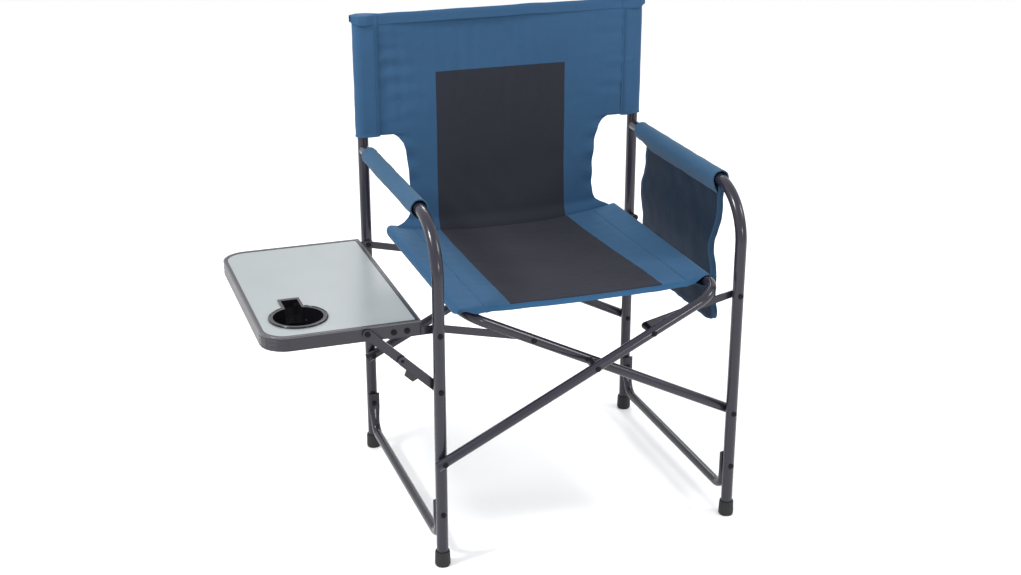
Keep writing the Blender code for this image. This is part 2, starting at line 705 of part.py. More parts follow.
def table_straps(parent):
    """Bent steel straps that hang the table on the left links' rivets."""
    low, high = LINK_PIVOT_Z - STRAP_LOW, LINK_PIVOT_Z + STRAP_HIGH
    ear_x = -HALF_WIDTH + 0.008
    start = STRAP_TABLE_X
    front = [(start, FRONT_STRAP_Y), (ear_x, FRONT_STRAP_Y)]
    front += [(ear_x, FRONT_STRAP_Y + STRAP_T), (start, FRONT_STRAP_Y + STRAP_T)]
    bend_x = TABLE_INNER_X + 0.004
    rear = [(start, REAR_STRAP_Y), (bend_x + STRAP_T, REAR_STRAP_Y), (bend_x + STRAP_T, REAR_EAR_Y)]
    rear += [(ear_x, REAR_EAR_Y), (ear_x, REAR_EAR_Y + STRAP_T), (bend_x, REAR_EAR_Y + STRAP_T)]
    rear += [(bend_x, REAR_STRAP_Y + STRAP_T), (start, REAR_STRAP_Y + STRAP_T)]
    for name, outline, y in (
        ("front_table_strap", front, FRONT_STRAP_Y),
        ("rear_table_strap", rear, REAR_STRAP_Y),
    ):
        strap, at = flat_plate(name, [outline], low, high - low)
        finish(strap, parent, DARK_STEEL, 0.4, 0.7, at=at)
        holes = [(x, STRAP_SCREW_Z, BORE_R, y - 0.005, y + 0.007) for x in STRAP_SCREW_X]
        holes.append((-HALF_WIDTH, LINK_PIVOT_Z, BORE_R, FRONT_STRAP_Y - 0.005, REAR_EAR_Y + 0.01))
        drill(strap, parent, holes)


def strap_screws(parent):
    for index, x in enumerate(STRAP_SCREW_X):
        rivet(
            f"front_strap_screw_{index + 1}", x, STRAP_SCREW_Z,
            TABLE_FRONT_Y - GAP, FRONT_STRAP_Y + STRAP_T + GAP, parent,
        )
        rivet(
            f"rear_strap_screw_{index + 1}", x, STRAP_SCREW_Z,
            REAR_STRAP_Y - GAP, TABLE_REAR_Y + GAP, parent,
        )


def folding_stay(table, upper, lower):
    """A two-piece stay between the table and the front leg, locked straight by a sliding latch."""
    top = (STAY_TABLE_X, STAY_TABLE_Z)
    joint = (STAY_JOINT_X, STAY_JOINT_Z)
    bottom = (-HALF_WIDTH, STAY_LEG_Z)
    outlines = [bar_outline(top, joint, STAY_HALF_W), arc(top, BORE_R, 0, 330, 11)]
    upright_plate("stay_upper_arm", outlines, STAY_UPPER_Y, STAY_T, upper, STEEL, 0.4, 0.5)
    outlines = [bar_outline(joint, bottom, STAY_HALF_W), arc(bottom, BORE_R + GAP, 0, 330, 11)]
    outlines.append(arc(joint, BORE_R, 0, 330, 11))
    upright_plate("stay_lower_arm", outlines, STAY_LOWER_Y, STAY_T, lower, STEEL, 0.4, 0.5)
    mesh = turned_mesh(
        "stay_joint_rivet",
        [
            (0.0, -STAY_LOWER_Y), (PIN_R, -STAY_LOWER_Y),
            (PIN_R, -STAY_LOWER_Y - STAY_T), (0.0, -STAY_LOWER_Y - STAY_T),
        ],
        steps=12,
    )
    pin = bpy.data.objects.new("stay_joint_rivet", mesh)
    pin.rotation_euler = (radians(90), 0.0, 0.0)
    finish(pin, lower, DARK_STEEL, 0.35, 0.8, at=(joint[0], 0.0, joint[1]))
    rivet("stay_table_rivet", *top, STAY_UPPER_Y - GAP, TABLE_FRONT_Y + TABLE_WALL + GAP, table)


def stay_latch(parent):
    """Plastic block that slides along the edge of the stay's lower arm, clear of the upper arm."""
    heading = atan2(STAY_LEG_Z - STAY_TABLE_Z, -HALF_WIDTH - STAY_TABLE_X)
    along = Vector((cos(heading), 0.0, sin(heading)))
    below = Vector((sin(heading), 0.0, -cos(heading)))
    start = Vector((STAY_JOINT_X, 0.0, STAY_JOINT_Z)) + along * 0.0180
    corners = [(0.0, 0.0), (0.027, 0.0), (0.024, 0.0095), (0.004, 0.0095)]
    outline = []
    for run, drop in corners:
        point = start + along * run + below * (STAY_HALF_W + GAP + drop)
        outline.append((point.x, point.z))
    upright_plate("stay_latch", [outline], STAY_LOWER_Y, STAY_T, parent, BLACK, 0.45)


# ---- cloth ----
def union_into(target, mesh, parent, label):
    helper = bpy.data.objects.new(target.name + label, mesh)
    boolean(target, finish_cutter(helper, parent), "UNION")


def back_fabric(parent):
    """Backrest panel with a sleeve on each post and a neck that runs down to the seat."""
    edge = HALF_WIDTH
    neck = BACK_NECK_HALF_W
    right = [(edge, BACK_TOP - 0.001), (edge, BACK_LOW + 0.001)]
    right += [(0.235, BACK_LOW - 0.001), (0.213, BACK_LOW - 0.010), (neck + 0.006, BACK_LOW - 0.040)]
    right += [(neck, 0.600), (neck, BACK_NECK_LOW)]
    outline = right + [(-x, z) for x, z in reversed(right)]
    front = DEPTH - POST_SLEEVE_R + GAP
    panel = upright_plate("back_fabric", [outline], front, CLOTH_T - GAP, parent, BLUE, 0.9)
    bores = []
    for side in (-1, 1):
        x = side * HALF_WIDTH
        ends = [Vector((x, DEPTH, BACK_LOW)), Vector((x, DEPTH, BACK_TOP))]
        sleeve = tube_mesh(f"back_sleeve_{side}", ends, POST_SLEEVE_R, 16, True)
        union_into(panel, sleeve, parent, f"_sleeve{side}")
        ends = [Vector((x, DEPTH, BACK_LOW - 0.01)), Vector((x, DEPTH, BACK_TOP + 0.01))]
        bores.append(tube_mesh(f"back_bore_{side}", ends, LEG_R + GAP, 16, True))
    for index, mesh in enumerate(bores):
        helper = bpy.data.objects.new(f"back_fabric_bore{index}", mesh)
        boolean(panel, finish_cutter(helper, parent))


def seat_fabric(parent):
    """Sagging seat sheet with a sleeve on each seat rail."""
    steps = 12
    top = SEAT_RAIL_Z + SLEEVE_R
    half = SEAT_RAIL_X
    upper = []
    for step in range(steps + 1):
        x = -half + 2 * half * step / steps
        upper.append((x, top - SEAT_SAG * (1 - (x / half) ** 2)))
    lower = [(x, z - (CLOTH_T - GAP)) for x, z in reversed(upper)]
    first, last = 0.020, 0.494
    seat = upright_plate("seat_fabric", [upper + lower], first, last - first, parent, BLUE, 0.9)
    for side, y_tube in ((-1, TUBE_B_Y), (1, TUBE_A_Y)):
        x = side * SEAT_RAIL_X
        start = max(y_tube[0] + SCISSOR_BEND_R + 0.001, 0.0305)
        stop = min(y_tube[1] - SCISSOR_BEND_R - 0.001, 0.4835)
        ends = [Vector((x, start, SEAT_RAIL_Z)), Vector((x, stop, SEAT_RAIL_Z))]
        union_into(seat, tube_mesh(f"seat_sleeve_{side}", ends, SLEEVE_R, 16, True), parent, f"_sleeve{side}")
        ends = [Vector((x, start - 0.1, SEAT_RAIL_Z)), Vector((x, stop + 0.1, SEAT_RAIL_Z))]
        bore = tube_mesh(f"seat_bore_{side}", ends, THIN_R + GAP, 16, True)
        boolean(seat, finish_cutter(bpy.data.objects.new(f"seat_fabric_bore{side}", bore), parent))


def arm_cover(side, name, parent):
    x = side * HALF_WIDTH
    path = [Vector((x, ARM_BEND_R + 0.002, ARM_Z)), Vector((x, ARM_COVER_END, ARM_Z))]
    wall = ARM_COVER_R * cos(pi / 16) - LEG_R - GAP / 2
    tube(name, path, ARM_COVER_R, wall, parent, BLUE, 0.9, 0.0, sides=16)


def side_pouch(parent):
    """Storage pouch under the right arm: a tall inner sheet and a lower outer pocket."""
    top = ARM_Z - ARM_COVER_R - GAP
    outline = [(0.090, top), (0.092, 0.606), (0.104, 0.551), (0.120, 0.510), (0.106, 0.477)]
    outline += [(0.088, 0.400), (0.100, 0.378), (0.275, 0.381), (0.400, 0.392), (0.440, 0.470)]
    outline += [(0.447, 0.560), (0.440, top)]
    inner, outer = HALF_WIDTH - 0.004, HALF_WIDTH + 0.014
    mesh = plate_mesh("side_pouch", [outline], outer - inner)
    pouch = bpy.data.objects.new("side_pouch", mesh)
    pouch.rotation_euler = (radians(90), 0.0, radians(90))
    finish(pouch, parent, NAVY, 0.9, at=((inner + outer) / 2, 0.0, 0.0))
    cut_box(pouch, parent, (inner + 0.002, 0.128, 0.398), (outer - 0.002, 0.395, 0.580), "_pocket")
    cut_box(pouch, parent, (inner + 0.002, 0.0, 0.560), (outer + 0.01, DEPTH, 0.70), "_mouth")


def main():
    global parts, cutters
    clear_scene()
    parts = new_collection("folding_camp_chair")
    cutters = new_collection("cutters")
    zero = bpy.data.objects.new("chair_zero", None)
    parts.objects.link(zero)
    zero["at"] = (0.0, 0.0, 0.0)
    zero.location = ZERO
    fold = pivot_empty("fold_pivot", -HALF_WIDTH, SCISSOR_PIVOT_Z, zero)
    centre = pivot_empty("centre_pivot", 0.0, CENTRE_Z, fold)
    right = pivot_empty("right_frame_pivot", HALF_WIDTH, SCISSOR_PIVOT_Z, centre)
    left_links = pivot_empty("left_link_pivot", -HALF_WIDTH, LINK_PIVOT_Z, zero)
    right_links = pivot_empty("right_link_pivot", HALF_WIDTH, LINK_PIVOT_Z, right)
    table = pivot_empty("table_pivot", -HALF_WIDTH, LINK_PIVOT_Z, zero)
    upper = pivot_empty("stay_table_pivot", STAY_TABLE_X, STAY_TABLE_Z, table)
    lower = pivot_empty("stay_leg_pivot", -HALF_WIDTH, STAY_LEG_Z, zero)

    side_frame(-1, "left", zero)
    side_frame(1, "right", right)
    frame_pins(zero, -1, "left", TUBE_A_Y)
    frame_pins(right, 1, "right", TUBE_B_Y)
    link_pins(zero, -1, "left")
    link_pins(right, 1, "right")
    scissor_tube("scissor_tube_a", -1, TUBE_A_Y, fold)
    scissor_tube("scissor_tube_b", 1, TUBE_B_Y, centre)
    centre_pins(fold)
    link_end_rivets(fold, 1, TUBE_A_Y, ("front_tube_a_rivet", "rear_tube_a_rivet"))
    link_end_rivets(centre, -1, TUBE_B_Y, ("front_tube_b_rivet", "rear_tube_b_rivet"))
    link("front_left_link", -1, TUBE_B_Y[0] + THIN_R + GAP, left_links)
    link("rear_left_link", -1, DEPTH - LEG_R - GAP - LINK_T, left_links)
    link("front_right_link", 1, LEG_R + GAP, right_links)
    link("rear_right_link", 1, TUBE_A_Y[1] - THIN_R - GAP - LINK_T, right_links)

    table_rim(table)
    table_panel(table)
    cup_holder(table)
    table_straps(table)
    strap_screws(table)
    folding_stay(table, upper, lower)
    rivet(
        "stay_leg_rivet", -HALF_WIDTH, STAY_LEG_Z, -LEG_R - GAP, STAY_LOWER_Y + STAY_T - GAP, zero, tail=False
    )
    stay_latch(lower)

    back_fabric(zero)
    seat_fabric(fold)
    arm_cover(-1, "left_arm_cover", zero)
    arm_cover(1, "right_arm_cover", right)
    side_pouch(right)


main()
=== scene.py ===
"""Looks of the folding camp chair: its cloth, its finishes, its studio and its camera."""

import json
from math import atan2, cos, pi, radians, sin

import bpy
import numpy as np
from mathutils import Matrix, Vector, noise

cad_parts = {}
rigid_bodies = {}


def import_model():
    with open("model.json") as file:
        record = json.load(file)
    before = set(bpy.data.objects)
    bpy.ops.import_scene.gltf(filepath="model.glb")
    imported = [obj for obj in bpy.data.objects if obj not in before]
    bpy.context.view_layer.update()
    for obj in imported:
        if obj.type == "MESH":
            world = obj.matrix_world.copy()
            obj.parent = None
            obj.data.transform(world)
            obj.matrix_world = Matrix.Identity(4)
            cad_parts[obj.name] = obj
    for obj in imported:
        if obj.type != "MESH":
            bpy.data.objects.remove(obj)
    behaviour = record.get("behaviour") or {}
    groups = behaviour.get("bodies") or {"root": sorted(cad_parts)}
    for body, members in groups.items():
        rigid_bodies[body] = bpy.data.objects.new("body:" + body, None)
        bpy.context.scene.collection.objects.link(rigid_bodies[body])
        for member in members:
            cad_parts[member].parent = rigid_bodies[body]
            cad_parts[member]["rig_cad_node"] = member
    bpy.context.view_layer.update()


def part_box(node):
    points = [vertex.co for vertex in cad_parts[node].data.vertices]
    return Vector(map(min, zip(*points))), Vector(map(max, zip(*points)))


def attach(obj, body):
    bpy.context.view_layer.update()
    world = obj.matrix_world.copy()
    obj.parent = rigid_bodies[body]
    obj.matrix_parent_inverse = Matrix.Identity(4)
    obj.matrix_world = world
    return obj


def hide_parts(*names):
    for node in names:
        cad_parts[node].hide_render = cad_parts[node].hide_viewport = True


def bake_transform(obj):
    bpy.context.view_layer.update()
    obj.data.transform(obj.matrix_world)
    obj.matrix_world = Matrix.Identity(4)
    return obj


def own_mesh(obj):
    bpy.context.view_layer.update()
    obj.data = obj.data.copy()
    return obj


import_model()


def middle(node):
    """Centre of a CAD node's box."""
    low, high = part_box(node)
    return (low + high) / 2


# ---- the chair's own zero: its centre plane, its front legs' axes, the floor ----
LEFT_POST = middle("left_back_post")
RIGHT_POST = middle("right_back_post")
CENTRE_X = (LEFT_POST.x + RIGHT_POST.x) / 2
FRONT_Y = middle("front_left_foot").y


def at(x, y, z):
    """A point from the chair's own zero in the shared frame."""
    return Vector((x + CENTRE_X, y + FRONT_Y, z))


# ---- legs, arms and posts ----
HALF_WIDTH = (RIGHT_POST.x - LEFT_POST.x) / 2
DEPTH = LEFT_POST.y - FRONT_Y
LEG_R = 0.011
LEG_WALL = 0.0013
LEG_FOOT_Z = 0.0065
POST_TOP_Z = 0.925
ARM_TUBE_Z = 0.665
ARM_TUBE_END = DEPTH - 0.0117
ARM_BEND = 0.100

# ---- base rails; their upright ends are pressed flat against the legs and posts ----
BASE_R = 0.009
BASE_WALL = 0.0010
BASE_Z = 0.048
BASE_END_Z = 0.130
BASE_BEND = 0.030
LEG_FACE = 0.0114
PRESS_LOW_Z = 0.070
PRESS_RUN = 0.028
PRESS_WIDER = 0.38
PRESS_FLATTER = 0.64

# ---- scissor tubes, whose upper runs are the seat's rails ----
SCISSOR_R = 0.0095
SCISSOR_WALL = 0.0011
SCISSOR_FOOT_Z = 0.222
SCISSOR_SHIFT = 0.0208
# from the lower pivot to the cut end
SCISSOR_TAIL = 0.014
SCISSOR_BEND = 0.045
SEAT_RAIL_X = 0.243
SEAT_RAIL_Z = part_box("scissor_tube_a")[1].z - SCISSOR_R

# ---- backrest ----
BACK_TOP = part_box("back_fabric")[1].z
BACK_LOW = 0.692
BACK_HALF = 0.284
BACK_Y = DEPTH - 0.0123
BACK_CLOTH = 0.0016
BACK_BELLY = 0.007
BELLY_FULL_Z = 0.62
NECK_TO_WIDE = (0.68, 0.74)
NEAR_POST = (0.13, 0.255)
BACK_INSERT = (-0.141, 0.136)
BACK_INSERT_TOP = 0.812
CREASE_Y = 0.4955
CREASE_Z = 0.4790
CREASE_RISE = 0.030
CREASE_GAP = 0.0006
# a height on the neck, where the back sheet's rows change their spacing
NECK_NARROW_Z = 0.640
# half-width below the sleeves, as (height, half-width)
NECK = (
    (0.6935, 0.236), (0.690, 0.2290), (0.684, 0.2210), (0.672, 0.2120), (0.655, 0.2070), (0.640, 0.2045),
    (0.590, 0.2000), (0.550, 0.1985), (0.525, 0.2010), (0.508, 0.2070), (0.495, 0.2170), (0.485, 0.2290),
    (0.478, 0.2370),
)
# depths of its folds: level at the posts, upright, slanting, broad, and along the neck's edges
LEVEL_FOLD, UPRIGHT_FOLD, SLANTING_FOLD, BROAD_FOLD, EDGE_FOLD = 0.0024, 0.0017, 0.0022, 0.0034, 0.0022
EDGE_FOLD_RUN = 0.035

# ---- its sleeves on the posts, its stitches and its top hem ----
WRAP_R = 0.0141
WRAP_SEAM_X = 0.261
WRAP_SEAM_DEPTH = 0.0098
WRAP_CLOTH = 0.0008
WRAP_HEM = 0.0008
WRAP_HEM_HEIGHT = 0.003
WRAP_SAG = 0.0022
BACK_STITCH_X = 0.2655

TOP_HEM_HEIGHT = 0.019
TOP_HEM_CLOTH = 0.0012
TOP_HEM_HALF = 0.2600
# its end pieces: where they start, where their columns get closer, and where they stop
TOP_HEM_ENDS = (0.2590, 0.298, 0.3115)
TOP_HEM_OVERLAP = 0.0006
TOP_HEM_PAST_POST = (0.296, 0.3115)
TOP_HEM_OVER_POST = (0.262, 0.285)
TOP_HEM_FRONT = 0.0012
TOP_HEM_BACK = 0.0028
POST_BULGE_FRONT = 0.0028
POST_BULGE_BACK = 0.0245
TOP_HEM_CLOSE = 0.010
TOP_HEM_CROWN = 0.0014

# ---- seat ----
SEAT_FRONT = 0.019
SEAT_REAR = CREASE_Y
SEAT_CLOTH = 0.0014
SEAT_INSERT_HALF = 0.150
SEAT_INSERT_TAPER = 0.010
SEAT_SEAM_X = 0.196
SEAT_STITCH_X = 0.199
SEAM_DIP = 0.0014
SEAM_DIP_HALF = 0.006
SEAT_SAG_FRONT = 0.0085
SEAT_SAG_MORE = 0.0155
SEAT_HOLLOW = 0.0030
FRONT_TURN_DOWN = 0.0105
SEAT_FRONT_BOW = 0.004
# depths of its folds: across the rails, broad, and slanting
RAIL_FOLD, SEAT_BROAD_FOLD, SEAT_SLANTING_FOLD = 0.0013, 0.0020, 0.0011
# its front and rear edges on each rail: where they lie on top, and the shift back of what lies under the rail
LEFT_RAIL_EDGES = ((0.0060, 0.0610), (0.5040, -0.0205))
RIGHT_RAIL_EDGES = ((0.0305, 0.0), (0.4920, -0.0430))
TO_RAIL = (0.190, 0.237)
RAIL_CLOTH_R = 0.0112
RAIL_UNDERLAP = 0.047
THREAD_R = 0.0005
THREAD_LIFT = 0.0009

# ---- arm sleeves ----
ARM_Z = middle("left_arm_cover").z
ARM_SLEEVE_R = 0.0152
ARM_SLEEVE_CLOTH = 0.0022
ARM_SLEEVE_HEM = 0.0007
ARM_SLEEVE_REAR = 0.464
ARM_SLEEVE_PINCH = 22

# ---- pouch: its front and rear edges as (height, distance back) ----
POUCH_LOW = 0.373
POUCH_HEM_Z = 0.381
POUCH_TOP = ARM_Z - 0.0135
POCKET_TOP = 0.562
POUCH_INNER_X = 0.2895
POUCH_OUTER_X = 0.2965
POUCH_MIDDLE = (0.27, 0.50)
POUCH_CLOTH = 0.0014
GUSSET_CLOTH = 0.0012
PIPING_R = 0.0017
POUCH_FRONT = (
    (0.6480, 0.090), (0.606, 0.092), (0.580, 0.097), (0.551, 0.106), (0.525, 0.117), (0.510, 0.1195),
    (0.495, 0.115), (0.477, 0.108), (0.430, 0.095), (0.395, 0.0885), (0.380, 0.098), (0.373, 0.122),
)
POUCH_REAR = (
    (0.6480, 0.424), (0.600, 0.432), (0.560, 0.442), (0.515, 0.443), (0.470, 0.438), (0.430, 0.424),
    (0.405, 0.412), (0.390, 0.402), (0.380, 0.392), (0.373, 0.372),
)

# ---- side table ----
TABLE_LOW, TABLE_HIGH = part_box("table_rim")
RIM_OUTER_R = 0.047
RIM_INNER_R = 0.003
LIP_R = 0.0019
LIP_INSET = 0.0014
LIP_DROP = 0.0016
RIB_R = 0.0008
RIB_INSET = 0.0006
RIB_DROPS = (0.0075, 0.0150, 0.0235)
CUP = at(-0.520, 0.107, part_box("cup_holder")[1].z)
CUP_BEAD_LOOP_R = 0.0515
CUP_BEAD_R = 0.0017
CUP_BEAD_DROP = 0.0006
CUP_SLOT_HALF_ANGLE = 0.40

# ---- colours ----
BLUE = (0.0245, 0.0710, 0.144)
SEAT_BLUE = (0.0190, 0.0720, 0.150)
ARM_BLUE = (0.0245, 0.0720, 0.135)
NAVY = (0.0018, 0.0110, 0.0275)
CHARCOAL = (0.0185, 0.0205, 0.0290)
SEAT_CHARCOAL = (0.0110, 0.0122, 0.0215)
GUNMETAL = (0.0165, 0.0155, 0.0250)
RIVET_BLACK = (0.0025, 0.0025, 0.0035)
RIM_GREY = (0.0110, 0.0105, 0.0175)
# painted highlight: the rim's lip is given a lighter grey than the rim to stand in for the light along its
# top edge
LIP_PAINTED_HIGHLIGHT_GREY = (0.070, 0.069, 0.077)
PALE_BOARD = (0.228, 0.252, 0.259)
GLOSS_BLACK = (0.006, 0.006, 0.008)
NYLON_BLACK = (0.006, 0.006, 0.007)
RUBBER_BLACK = (0.005, 0.005, 0.006)
FLOOR_WHITE = (0.95, 0.95, 0.95)
SKY_WHITE = (0.985, 0.99, 1.0, 1.0)
TRIM_SHADE = 0.62
THREAD_SHADE = 0.88

# ---- studio and camera ----
FLOOR_SIZE = 120.0
SKY_STRENGTH = 1.04
LIGHTS = (
    ("key", (-2.1, -0.5, 2.6), 0.6, 75.0),
    ("fill", (2.4, -1.4, 2.2), 0.8, 30.0),
    ("rim", (0.8, 2.6, 2.6), 1.0, 30.0),
    ("strip", (0.7, -3.0, 1.1), 0.35, 14.0),
)
LIGHTS_AIM = (0.0, 0.0, 0.45)
CAMERA_PLACE = (-0.991, -2.395, 1.516)
CAMERA_VIEW = (0.306, 0.881, -0.360)
CAMERA_LENS = 54.14
CAMERA_SENSOR = 36.0


# ---- materials ----
def new_material(name, colour, roughness):
    material = bpy.data.materials.new(name)
    material.use_nodes = True
    nodes = material.node_tree.nodes
    surface = nodes["Principled BSDF"]
    surface.inputs["Base Color"].default_value = (*colour, 1.0)
    surface.inputs["Roughness"].default_value = roughness
    return material, nodes, material.node_tree.links, surface


def textured(nodes, links, kind, scale, **settings):
    texture = nodes.new(kind)
    texture.inputs["Scale"].default_value = scale
    for name, value in settings.items():
        texture.inputs[name].default_value = value
    coordinates = nodes.new("ShaderNodeTexCoord")
    links.new(coordinates.outputs["Object"], texture.inputs["Vector"])
    return texture


def vary(nodes, links, factor, socket, low, high):
    """Runs a number socket between two values by a texture."""
    spread = nodes.new("ShaderNodeMapRange")
    spread.inputs["To Min"].default_value = low
    spread.inputs["To Max"].default_value = high
    links.new(factor, spread.inputs["Value"])
    links.new(spread.outputs["Result"], socket)


def tint(nodes, links, factor, surface, colour, contrast):
    """Runs the base colour between a darker and a lighter shade by a texture."""
    mix = nodes.new("ShaderNodeMix")
    mix.data_type = "RGBA"
    mix.inputs["A"].default_value = (*(c * (1 - contrast) for c in colour), 1.0)
    mix.inputs["B"].default_value = (*(c * (1 + contrast) for c in colour), 1.0)
    links.new(factor, mix.inputs["Factor"])
    links.new(mix.outputs["Result"], surface.inputs["Base Color"])


def bump(nodes, links, surface, height, strength, distance, below=None):
    node = nodes.new("ShaderNodeBump")
    node.inputs["Strength"].default_value = strength
    node.inputs["Distance"].default_value = distance
    links.new(height, node.inputs["Height"])
    if below is not None:
        links.new(below, node.inputs["Normal"])
    links.new(node.outputs["Normal"], surface.inputs["Normal"])
    return node.outputs["Normal"]


def cloth_material(name, colour, pitch=0.0011, contrast=0.10, strength=0.35, plane="XZ"):
    """Plain-weave cloth with threads at a pitch and slightly uneven dye."""
    material, nodes, links, surface = new_material(name, colour, 0.88)
    surface.inputs["Sheen Weight"].default_value = 0.06
    surface.inputs["Sheen Roughness"].default_value = 0.5
    surface.inputs["Specular IOR Level"].default_value = 0.16
    pitch_at_scale_1 = 0.314
    weave = nodes.new("ShaderNodeMath")
    weave.operation = "MULTIPLY"
    for index, axis in enumerate(plane):
        wave = textured(nodes, links, "ShaderNodeTexWave", pitch_at_scale_1 / pitch)
        wave.bands_direction = axis
        links.new(wave.outputs["Fac"], weave.inputs[index])
    dye = textured(nodes, links, "ShaderNodeTexNoise", 9.0, Detail=6.0, Roughness=0.62)
    tint(nodes, links, dye.outputs["Fac"], surface, colour, contrast)
    slack = textured(nodes, links, "ShaderNodeTexNoise", 55.0, Detail=3.0)
    soft = bump(nodes, links, surface, slack.outputs["Fac"], strength=0.35, distance=0.0020)
    bump(nodes, links, surface, weave.outputs["Value"], strength, distance=0.0003, below=soft)
    return material


def paint_material(name, colour, roughness=0.22, coat=0.12, shine=0.34):
    """Powder-coated metal with a faint orange peel."""
    material, nodes, links, surface = new_material(name, colour, roughness)
    surface.inputs["Specular IOR Level"].default_value = shine
    surface.inputs["Coat Weight"].default_value = coat
    surface.inputs["Coat Roughness"].default_value = 0.12
    peel = textured(nodes, links, "ShaderNodeTexNoise", 420.0, Detail=2.0)
    bump(nodes, links, surface, peel.outputs["Fac"], strength=0.10, distance=0.0002)
    wear = textured(nodes, links, "ShaderNodeTexNoise", 26.0, Detail=5.0, Roughness=0.6)
    vary(nodes, links, wear.outputs["Fac"], surface.inputs["Roughness"], roughness * 0.78, roughness * 1.25)
    tint(nodes, links, wear.outputs["Fac"], surface, colour, 0.1)
    return material


def plastic_material(name, colour, roughness, grain=900.0, strength=0.12):
    """Moulded or printed plastic with a fine grain."""
    material, nodes, links, surface = new_material(name, colour, roughness)
    skin = textured(nodes, links, "ShaderNodeTexNoise", grain, Detail=3.0)
    bump(nodes, links, surface, skin.outputs["Fac"], strength, distance=0.0002)
    cloud = textured(nodes, links, "ShaderNodeTexNoise", 14.0, Detail=4.0)
    vary(nodes, links, cloud.outputs["Fac"], surface.inputs["Roughness"], roughness * 0.85, roughness * 1.15)
    tint(nodes, links, cloud.outputs["Fac"], surface, colour, 0.05)
    return material


back_blue = cloth_material("back_blue_cloth", BLUE)
seat_blue = cloth_material("seat_blue_cloth", SEAT_BLUE, plane="XY")
arm_blue = cloth_material("arm_blue_cloth", ARM_BLUE, plane="YZ")
trim_blue = cloth_material("trim_blue_cloth", [c * TRIM_SHADE for c in BLUE], plane="YZ")
back_charcoal = cloth_material("back_charcoal_mesh", CHARCOAL, 0.0022, 0.14, 0.7)
seat_charcoal = cloth_material("seat_charcoal_mesh", SEAT_CHARCOAL, 0.0022, 0.14, 0.7, plane="XY")
pouch_navy = cloth_material("pouch_navy_mesh", NAVY, 0.0018, 0.12, 0.5, plane="YZ")
thread = cloth_material("thread", [c * THREAD_SHADE for c in BLUE], 0.0008)
frame_paint = paint_material("gunmetal_paint", GUNMETAL)
rivet_steel = paint_material("rivet_black", RIVET_BLACK, roughness=0.40, coat=0.0, shine=0.14)
rim_paint = plastic_material("rim_grey", RIM_GREY, 0.36)
# the lip's lighter grey is a painted highlight, not a second plastic
lip_painted_highlight = plastic_material("rim_lip_painted_highlight", LIP_PAINTED_HIGHLIGHT_GREY, 0.30)
panel_board = plastic_material("pale_board", PALE_BOARD, 0.30, grain=260.0, strength=0.05)
cup_black = plastic_material("cup_gloss_black", GLOSS_BLACK, 0.10)
part_black = plastic_material("black_nylon", NYLON_BLACK, 0.42)
foot_rubber = plastic_material("black_rubber", RUBBER_BLACK, 0.72, grain=600.0, strength=0.25)


def finish_cad_nodes():
    """Gives every CAD node that stays its finish."""
    for obj in bpy.context.scene.objects:
        node = obj.get("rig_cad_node")
        if node is None:
            continue
        if node == "table_panel":
            material = panel_board
        elif node == "table_rim":
            material = rim_paint
        elif node == "cup_holder":
            material = cup_black
        elif node.endswith("_foot"):
            material = foot_rubber
        elif node.endswith("_plug") or node.endswith("_spacer") or node == "stay_latch":
            material = part_black
        elif "rivet" in node or "screw" in node or "bolt" in node:
            material = rivet_steel
        else:
            material = frame_paint
        for material_slot in obj.material_slots:
            material_slot.material = material


# ---- meshes ----
def add_object(name, mesh, materials):
    obj = bpy.data.objects.new(name, mesh)
    bpy.context.scene.collection.objects.link(obj)
    for material in materials:
        obj.data.materials.append(material)
    return obj


def face_normals(grid, closed):
    """Unit normals of a grid of points, rows by columns."""
    across = np.gradient(grid, axis=1)
    if closed:
        across = (np.roll(grid, -1, axis=1) - np.roll(grid, 1, axis=1)) / 2
    along = np.gradient(grid, axis=0)
    normal = np.cross(across, along)
    return normal / np.maximum(np.linalg.norm(normal, axis=2, keepdims=True), 1e-12)


def cloth_sheet(name, grid, thickness, materials, pick=None, closed=False):
    """A closed thin slab on a grid of points; pick(row, column) gives a face's material."""
    grid = np.asarray(grid, float)
    rows, columns = grid.shape[:2]
    normal = face_normals(grid, closed)
    outer = (grid + normal * thickness / 2).reshape(-1, 3)
    inner = (grid - normal * thickness / 2).reshape(-1, 3)
    count = rows * columns
    faces, slots = [], []
    last = columns if closed else columns - 1
    for r in range(rows - 1):
        for c in range(last):
            d = (c + 1) % columns
            quad = (r * columns + c, r * columns + d, (r + 1) * columns + d, (r + 1) * columns + c)
            slot = pick(r, c) if pick else 0
            faces.append(quad)
            faces.append(tuple(count + i for i in reversed(quad)))
            slots += [slot, slot]
    for r, turn in ((0, False), (rows - 1, True)):
        for c in range(last):
            d = (c + 1) % columns
            a, b = r * columns + c, r * columns + d
            quad = (b, a, count + a, count + b)
            faces.append(tuple(reversed(quad)) if turn else quad)
            slots.append(pick(min(r, rows - 2), c) if pick else 0)
    if not closed:
        for c, turn in ((0, False), (columns - 1, True)):
            for r in range(rows - 1):
                a, b = r * columns + c, (r + 1) * columns + c
                quad = (a, b, count + b, count + a)
                faces.append(tuple(reversed(quad)) if turn else quad)
                slots.append(pick(r, min(c, columns - 2)) if pick else 0)
    mesh = bpy.data.meshes.new(name)
    mesh.from_pydata(np.vstack([outer, inner]).tolist(), [], faces)
    mesh.polygons.foreach_set("material_index", slots)
    mesh.shade_smooth()
    mesh.set_sharp_from_angle(angle=radians(50))
    mesh.update()
    return add_object(name, mesh, materials)


